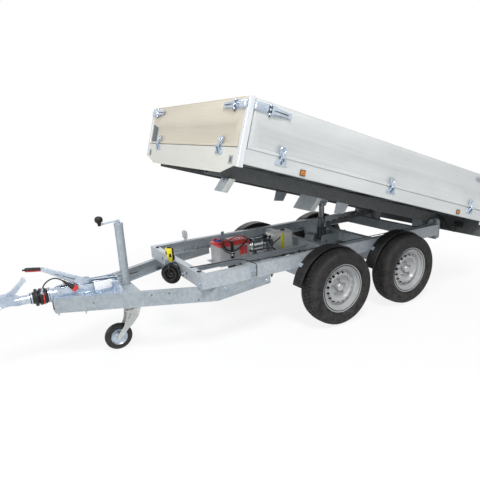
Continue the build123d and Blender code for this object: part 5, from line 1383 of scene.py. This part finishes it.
def latch_shape(reach):
    """An over-centre latch lying along -X from its board's end at the origin, standing off towards +Y."""
    work = bmesh.new()
    z0, z1 = BOARD_H - 74, BOARD_H - 12
    middle = (z0 + z1) / 2
    add(work, block(-150, -20, 0.3, 3, z0 + 2, z1 - 2, 0.8))
    add(work, block(-92, reach, 3, 5.5, z0 + 6, z1 - 6, 1.0))
    case = block(-88, reach - 4, 5, 15, z0 + 8, z1 - 8)
    for vert in case.verts:
        if vert.co.y > 10:
            vert.co.z = middle + (vert.co.z - middle) * 0.62
            vert.co.x = vert.co.x * 0.9 - 4
    add(work, soften(case, 3.5, 3))
    for x in (reach - 10, -80):
        for z in (z0 + 12, z1 - 12):
            add(work, lathe([(0, 0), (0, 3.6), (1.2, 3.2), (2, 0)], (x, 5.4, z), LEFT, 12))
    add(work, rod((-101, 9, z0 - 2), (-101, 9, z1 + 1), 6.4, 20, edge=1.2), 1)
    for z in (z0 + 4, middle, z1 - 5):
        add(work, lathe([(-5, 6.4), (-5, 9), (5, 9), (5, 6.4)], (-101, 9, z), UP, 20, True))
    add(work, rod((-101, 9, z0 - 13), (-101, 9, z0 - 2), 4.4, 14, edge=1.2), 1)
    lever = [(-110, 4), (-110, 15), (-118, 17), (-190, 14), (-236, 9), (-252, 13), (-256, 11), (-238, 4)]
    part = prism([(x, y, z0 + 8) for x, y in lever], (0, 0, z1 - z0 - 16))
    for vert in part.verts:
        if vert.co.x < -180:
            vert.co.z = middle + (vert.co.z - middle) * 0.72
    add(work, soften(part, 2.2, 3))
    add(work, block(-232, -124, 13.5, 17.6, middle - 3, middle + 3, 1.4), 1)
    add(work, block(-150, -112, 0.3, 4.5, z0 + 4, z1 - 4, 0.8))
    for x in (-142, -60):
        add(work, bolt(4, 2, 9), 0, [facing((x, 4.2 if x < -100 else 15, z0 + 9 if x < -100 else middle),
                                            LEFT)])
    return work


def leaf_shape():
    """The moving half of a hinge: a keyhole plate round a sunk ring, with its folded knuckle."""
    work = bmesh.new()
    plate = [(-20, 8), (20, 8), (20, 40), (-20, 40)]
    add(work, plate_xz(plate, 0.3, 5, 0.8))
    ring_shape = [(0.3, 0.1), (1.6, 9), (2.6, 12), (5.4, 14), (8.4, 17), (8.4, 20), (6.5, 22.5), (0.3, 23)]
    add(work, lathe(ring_shape, (0, 0, 44), LEFT, 40))
    add(work, bolt(4, 2, 10), 0, [facing((0, 1.8, 44), LEFT)])
    arm = [(5, 36), (9, 32), (21, 8), (22.5, -3), (20, -9.5), (12, -11), (5.5, -6), (6.4, 2), (4.8, 10)]
    add(work, prism([(-8.7, y, z) for y, z in arm], (17.4, 0, 0), 0.8))
    return work


def hinge_foot():
    """The fixed half of a hinge: a cast foot with four bolts, two ears and the pin."""
    work = bmesh.new()
    foot = [(-44, -52), (44, -52), (46, -46), (40, -8), (24, -4.5), (-24, -4.5), (-40, -8), (-46, -46)]
    add(work, plate_xz(foot, 0.3, 5, 1.2))
    for x in (-34, 34):
        for z in (-43, -17):
            add(work, lathe([(0, 0), (0, 5.4), (2.6, 4.8), (3.6, 0)], (x, 5, z), LEFT, 14), 0)
    for s in (-1, 1):
        ear = [(0.3, -44), (6, -44), (17, -22), (22, -12), (23, -2),
               (19, 4.5), (11, 5.5), (5.4, 1), (4.6, -6), (0.3, -6)]
        add(work, prism([(s * 16 - 4, y, z) for y, z in ear], (8, 0, 0), 0.9))
    add(work, rod((-26, 14, -3), (26, 14, -3), 4.3, 20, edge=0.8), 1)
    add(work, lathe([(20.2, 7), (20.2, 8), (24, 8), (25, 6.4), (25, 0)], (0, 14, -3), AHEAD, 6), 1)
    add(work, rod((0, 2, -24), (0, 2, -47), 6, 20, edge=1), 1)
    return work


class TRAILER_OT_board_fittings(bpy.types.Operator):
    """Make the latches and hinges of the four boards"""

    bl_idname = "trailer.board_fittings"
    bl_label = "Latches And Hinges"

    def execute(self, context):
        feet = bmesh.new()
        for name, (length, place) in BOARDS.items():
            sides = name.endswith("_board")
            stations = [BED_L / 2 - back for back in HINGE_BACKS] if sides else END_HINGES
            work = bmesh.new()
            end = at(length / 2 - 2, 0, 0)
            add(work, latch_shape(12 if sides else 34), None, [end, Matrix.Diagonal((-1, 1, 1, 1)) @ end])
            add(work, leaf_shape(), None, [at(x, 0, 0) for x in stations])
            finish(name + "_hardware", work, name + "_body", TRIM_PAINTS, place,
                   hides=(name + "_fittings",))
            add(feet, hinge_foot(), None, [ROW.inverted() @ place @ at(x, 0, 0) for x in stations])
        finish("hinge_feet", feet, "bed", TRIM_PAINTS, hides=("hinge_bases",))
        return {"FINISHED"}


class TRAILER_OT_lamps(bpy.types.Operator):
    """Make the side marker lamps, the tail lamps and the position lamp with their wires"""

    bl_idname = "trailer.lamps"
    bl_label = "Lamps"

    def execute(self, context):
        work = bmesh.new()
        y = BED_W / 2
        for back in (483.0, 2186.0):
            x, z = bx(back), bz(356)
            add(work, block(x - 22, x + 22, y + 0.2, y + 4, z - 20, z + 20, 1.2), 0, BOTH)
            add(work, block(x - 19.5, x + 19.5, y + 3.5, y + 10, z - 16, z + 16, 2.6), 1, BOTH)
            for dx in (-12, -4, 4, 12):
                add(work, block(x + dx - 0.6, x + dx + 0.6, y + 9.6, y + 10.3, z - 13, z + 13), 1, BOTH)
        x1 = bx(2610.2)
        low, high = bz(490), bz(400)
        add(work, block(x1 - 18, x1, 470, 700, low, high, 5), 0, BOTH)
        for y0, y1, paint in ((474, 583, 2), (585, 640, 1), (642, 696, 3)):
            add(work, block(x1 - 33.5, x1 - 15, y0, y1, low + 4, high - 4, 4), paint, BOTH)
            for k in range(4):
                z = low + 18 + k * 18
                add(work, block(x1 - 34, x1 - 33, y0 + 5, y1 - 5, z - 0.8, z + 0.8), paint, BOTH)
        add(work, lathe([(-1, 0), (-1, 34), (0.8, 33), (1, 30), (1, 0)],
                        (x1 - 33.4, 520, (low + high) / 2), AHEAD, 36), 2, BOTH)
        add(work, block(x1 + 4.4, x1 + 22, 540, 630, low + 22, high - 22, 3), 0, BOTH)
        add(work, bent_rod([(x1 + 20, 545, low + 30), (x1 + 34, 500, low + 4), (x1 + 30, 440, low - 26),
                            (x1 + 16, 400, low + 20), (x1 + 12, 360, high + 10), (x1 + 50, 300, bz(370)),
                            (x1 + 90, 0, bz(366)), (x1 + 50, -300, bz(370)), (x1 + 12, -360, high + 10),
                            (x1 + 16, -420, low + 18), (x1 + 30, -500, low + 4), (x1 + 20, -545, low + 30)],
                           3.6), 4)
        add(work, bent_rod([(x1 + 20, 560, low + 24), (x1 + 28, 590, low - 20), (x1 + 22, 560, low - 40),
                            (x1 + 12, 480, low - 6), (x1 + 10, 380, high)], 3.0), 4, BOTH)
        finish("lamp_parts", work, "bed", ["black_plastic", "amber_lens", "red_lens",
                                                         "clear_lens", "black_rubber"],
               BED, hides=("bed_lamps",))
        work = bmesh.new()
        x, y = 1157.0, -500.0
        outline = []
        for cy, cz, first in ((y + 22, 659, 0), (y - 22, 659, 90), (y - 22, 623, 180), (y + 22, 623, 270)):
            outline += [(cy + 20 * math.cos(math.radians(first + a)),
                         cz + 20 * math.sin(math.radians(first + a))) for a in (0, 18, 36, 54, 72, 90)]
        add(work, plate_yz(outline, x - 8, x + 3, 1.6))
        middle = (y, 641)
        lens_line = [(middle[0] + (a - middle[0]) * 0.86, middle[1] + (b - middle[1]) * 0.86) for a,
                     b in outline]
        add(work, plate_yz(lens_line, x + 2, x + 12, 3.0), 1)
        add(work, plate_yz(lens_line, x - 12, x - 7, 2.0), 2)
        add(work, block(x - 6, x + 6, y - 14, y + 14, 587.2, 603, 2))
        add(work, bolt(5, 3, 10), 3, [at(x, y + 9, 587), at(x, y - 9, 587)])
        finish("position_lamp", work, "chassis", ["pale_plastic", "clear_lens", "red_lens",
                                                                "bright_zinc"], hides=("reflector_post",))
        return {"FINISHED"}


def board_shape(length, stile, slope):
    """A drop side: a drawn profile with a sunk panel, whose slopes get dark finishes of painted shade."""
    part = block(-length / 2, length / 2, -25, 0, 0, BOARD_H, 1.0)
    face = max(part.faces, key=lambda f: f.calc_area() * f.normal.y)
    for x, y, low, high in ((length / 2 - stile, 0, 13, BOARD_H - 136),
                            (length / 2 - stile - slope, -16, 18, BOARD_H - 162)):
        bmesh.ops.inset_region(part, faces=[face], thickness=2)
        for vert in face.verts:
            vert.co = (math.copysign(x, vert.co.x), y, low if vert.co.z < 90 else high)
    # Painted shade: the level slopes of the sunk panel take the dark slope finish, and on an end board the
    # far upright slope takes the dark stile finish.
    for other in part.faces:
        normal = other.normal
        inner = -15.9 < other.calc_center_median().y < -0.6 and normal.y > 0.1
        level = abs(normal.z) > abs(normal.x)
        far = stile < 32 and other.calc_center_median().x > 0
        other.material_index = 1 if inner and level else 2 if inner and far else 0
    work = bmesh.new()
    add(work, part, None)
    half = length / 2 - 1
    for y, z in ((-1.2, BOARD_H - 1.4), (-23.8, BOARD_H - 1.4), (-0.8, 2.0)):
        add(work, rod((-half, y, z), (half, y, z), 2.2, 10))
    for x in (-half + 24, half - 24):
        for z in (24, 110, 190, 262):
            add(work, lathe([(0, 0), (0, 4.4), (1.8, 3.6), (2.6, 0)], (x, -25, z), RIGHT, 14))
    return work


class TRAILER_OT_boards(bpy.types.Operator):
    """Make the four drop sides with their sunk panels"""

    bl_idname = "trailer.boards"
    bl_label = "Boards"

    def execute(self, context):
        for name, (length, place) in BOARDS.items():
            sides = name.endswith("_board")
            work = board_shape(length, 34 if sides else 30, 42 if sides else 78)
            paint = "aluminium_side" if sides else "aluminium_end"
            # The slope finishes are painted shade.
            shade = "slope_shade_grey" if sides else "slope_shade"
            finish(name + "_profile", work, name + "_body",
                   [paint, shade, "stile_shade"], place, hides=(name,))
        return {"FINISHED"}


class TRAILER_OT_bed_trim(bpy.types.Operator):
    """Make the post caps, the floor bolts and the pockets of the front panel"""

    bl_idname = "trailer.bed_trim"
    bl_label = "Bed Trim"

    def execute(self, context):
        work = bmesh.new()
        for x in (bx(POST_W / 2), bx(BED_L - POST_W / 2)):
            y = BED_W / 2 - POST_W / 2
            cap = block(x - 19.4, x + 19.4, y - 19.4, y + 19.4, BOARD_TOP + 2, BOARD_TOP + 8.5)
            add(work, soften(cap, 3, 3), 1, BOTH)
            for dx in (-19.9, 19.9):
                add(work, block(x + dx - 0.35, x + dx + 0.35, y - 9, y - 7.4, bz(POST_DROP - 4), BOARD_TOP),
                    2, BOTH)
                add(work, block(x + dx - 0.35, x + dx + 0.35, y + 7.4, y + 9, bz(POST_DROP - 4), BOARD_TOP),
                    2, BOTH)
        for back in (155, 600, 1050, 1500, 1950, 2345):
            for y in (-700, -420, -140, 140, 420, 700):
                add(work, lathe([(0, 0), (0, 7), (1.5, 6), (2.2, 0)], (bx(back), y, bz(318)), UP, 14), 3)
        for side in (-1, 1):
            y = side * 735
            frame_out = [(y - 26, bz(401)), (y + 26, bz(401)), (y + 26, bz(349)), (y - 26, bz(349))]
            rim = plate_yz(frame_out, bx(0), bx(0) + 1.6)
            bmesh.ops.inset_region(rim, faces=[max(rim.faces, key=lambda f: f.calc_center_median().x)],
                                   thickness=3.4)
            add(work, rim, 4)
            add(work, block(bx(16), bx(-1.8), y - 14, y + 14, bz(393), bz(357), 3), 2)
        finish("bed_trim", work, "bed", ["aluminium_side", "aluminium_post", "dark_steel",
                                                      "bright_zinc", "galvanised"], BED)
        return {"FINISHED"}


def seen_ray(g):
    """One for the rays that the camera sees straight, in a mirror or through a lens."""
    path = g.add("ShaderNodeLightPath")
    near = g.math("MAXIMUM", path.outputs["Is Camera Ray"], path.outputs["Is Glossy Ray"])
    return g.math("MAXIMUM", near, path.outputs["Is Transmission Ray"])


class TRAILER_OT_stage(bpy.types.Operator):
    """Set the floor, the light, the background and the camera"""

    bl_idname = "trailer.stage"
    bl_label = "Stage"

    def execute(self, context):
        scene = context.scene
        scene.view_settings.view_transform = "Standard"
        data = bpy.data.meshes.new("floor")
        work = bmesh.new()
        bmesh.ops.create_circle(work, cap_ends=True, segments=64, radius=60.0, matrix=at(0, 0, -0.0005))
        work.to_mesh(data)
        work.free()
        ground = bpy.data.objects.new("floor", data)
        scene.collection.objects.link(ground)
        data.materials.append(floor_material())
        world = bpy.data.worlds.new("studio")
        scene.world = world
        world.use_nodes = True
        g = Graph(world.node_tree)
        world.node_tree.nodes.clear()
        seen = seen_ray(g)
        lit = g.add("ShaderNodeBackground", {0: (0.88, 0.94, 1.0, 1), 1: 0.30})
        shown = g.add("ShaderNodeBackground", {0: (1, 1, 1, 1), 1: 1.0})
        both = g.add("ShaderNodeMixShader", {0: seen, 1: lit.outputs[0], 2: shown.outputs[0]})
        g.add("ShaderNodeOutputWorld", {0: both.outputs[0]})
        for name, spot, size, power in (("key", (1.5, 4.0, 7.0), 2.5, 500),
                                        ("front", (6.5, 2.0, 4.0), 2.5, 170),
                                        ("back", (-3.0, -6.0, 6.0), 4.0, 130)):
            lamp = bpy.data.lights.new(name, "AREA")
            lamp.shape = "DISK"
            lamp.size = size
            lamp.energy = power
            light = bpy.data.objects.new(name, lamp)
            light.location = spot
            aim = Vector((0, 0, 0.6)) - Vector(spot)
            light.rotation_euler = aim.to_track_quat("-Z", "Y").to_euler()
            scene.collection.objects.link(light)
        make_camera(scene)
        return {"FINISHED"}


def floor_material():
    """A pale floor that fades to plain white further out, so that no horizon shows."""
    material = bpy.data.materials.new("Pale Floor")
    material.use_nodes = True
    g = Graph(material.node_tree)
    nodes = material.node_tree.nodes
    shader = nodes["Principled BSDF"]
    shader.inputs["Base Color"].default_value = (0.82, 0.82, 0.82, 1)
    shader.inputs["Roughness"].default_value = 0.9
    seen = seen_ray(g)
    place = g.add("ShaderNodeTexCoord").outputs["Object"]
    length = g.add("ShaderNodeVectorMath", {0: place}, operation="LENGTH").outputs["Value"]
    far = g.add("ShaderNodeMapRange", {0: length, 1: 1.6, 2: 3.4},
                interpolation_type="SMOOTHSTEP").outputs[0]
    glow = g.add("ShaderNodeEmission", {0: (1, 1, 1, 1), 1: 1.0})
    amount = g.math("MULTIPLY", g.span(far, 0.86, 1.0), seen)
    mixed = g.add("ShaderNodeMixShader", {0: amount, 1: shader.outputs[0], 2: glow.outputs[0]})
    g.tree.links.new(mixed.outputs[0], nodes["Material Output"].inputs[0])
    return material


CAMERA = {"place": (2.6525, 3.2706, 1.5627), "yaw": -121.094, "pitch": -16.536, "roll": -2.405,
          "focal": 462.1, "centre": (260.9, 260.2)}


def make_camera(scene):
    """The camera where the photographer stood."""
    yaw, pitch, roll = (math.radians(CAMERA[k]) for k in ("yaw", "pitch", "roll"))
    ahead = Vector((math.cos(yaw) * math.cos(pitch), math.sin(yaw) * math.cos(pitch), math.sin(pitch)))
    right = ahead.cross(Vector(UP)).normalized()
    up = right.cross(ahead)
    right, up = right * math.cos(roll) + up * math.sin(roll), up * math.cos(roll) - right * math.sin(roll)
    data = bpy.data.cameras.new("camera")
    data.sensor_width = 36.0
    data.lens = CAMERA["focal"] / 480 * 36
    data.shift_x = -(CAMERA["centre"][0] - 240) / 480
    data.shift_y = (CAMERA["centre"][1] - 240) / 480
    camera = bpy.data.objects.new("camera", data)
    turned = Matrix((right, up, -ahead)).transposed().to_4x4()
    x, y, z = CAMERA["place"]
    camera.matrix_world = Matrix.Translation((x + AXLE_X, y, z)) @ turned
    scene.collection.objects.link(camera)
    scene.camera = camera


class TRAILER_PT_panel(bpy.types.Panel):
    """Lists the trailer's pieces"""

    bl_label = "Tipper Trailer"
    bl_idname = "TRAILER_PT_panel"
    bl_space_type = "VIEW_3D"
    bl_region_type = "UI"
    bl_category = "Trailer"

    def draw(self, context):
        for kind in PIECES:
            self.layout.operator(kind.bl_idname)
        for settings in (context.scene.trailer_looks, context.scene.trailer_tyres):
            for name in settings.__annotations__:
                self.layout.prop(settings, name)


PIECES = [TRAILER_OT_stage, TRAILER_OT_lead, TRAILER_OT_finishes, TRAILER_OT_tyres, TRAILER_OT_wheel_details,
          TRAILER_OT_boot, TRAILER_OT_handbrake, TRAILER_OT_hitch_details, TRAILER_OT_jockey,
          TRAILER_OT_battery, TRAILER_OT_power_pack, TRAILER_OT_remote, TRAILER_OT_chassis_details,
          TRAILER_OT_mudguards, TRAILER_OT_guides, TRAILER_OT_cylinder_details, TRAILER_OT_boards,
          TRAILER_OT_board_fittings, TRAILER_OT_lamps, TRAILER_OT_bed_trim]
CLASSES = [TrailerLooks, TrailerTyres, *PIECES, TRAILER_PT_panel]


def register():
    for kind in CLASSES:
        bpy.utils.register_class(kind)
    bpy.types.Scene.trailer_looks = bpy.props.PointerProperty(type=TrailerLooks)
    bpy.types.Scene.trailer_tyres = bpy.props.PointerProperty(type=TrailerTyres)


def unregister():
    del bpy.types.Scene.trailer_looks
    del bpy.types.Scene.trailer_tyres
    for kind in reversed(CLASSES):
        bpy.utils.unregister_class(kind)


def main():
    register()
    for kind in PIECES:
        group, name = kind.bl_idname.split(".")
        getattr(getattr(bpy.ops, group), name)()


if __name__ == "__main__":
    main()
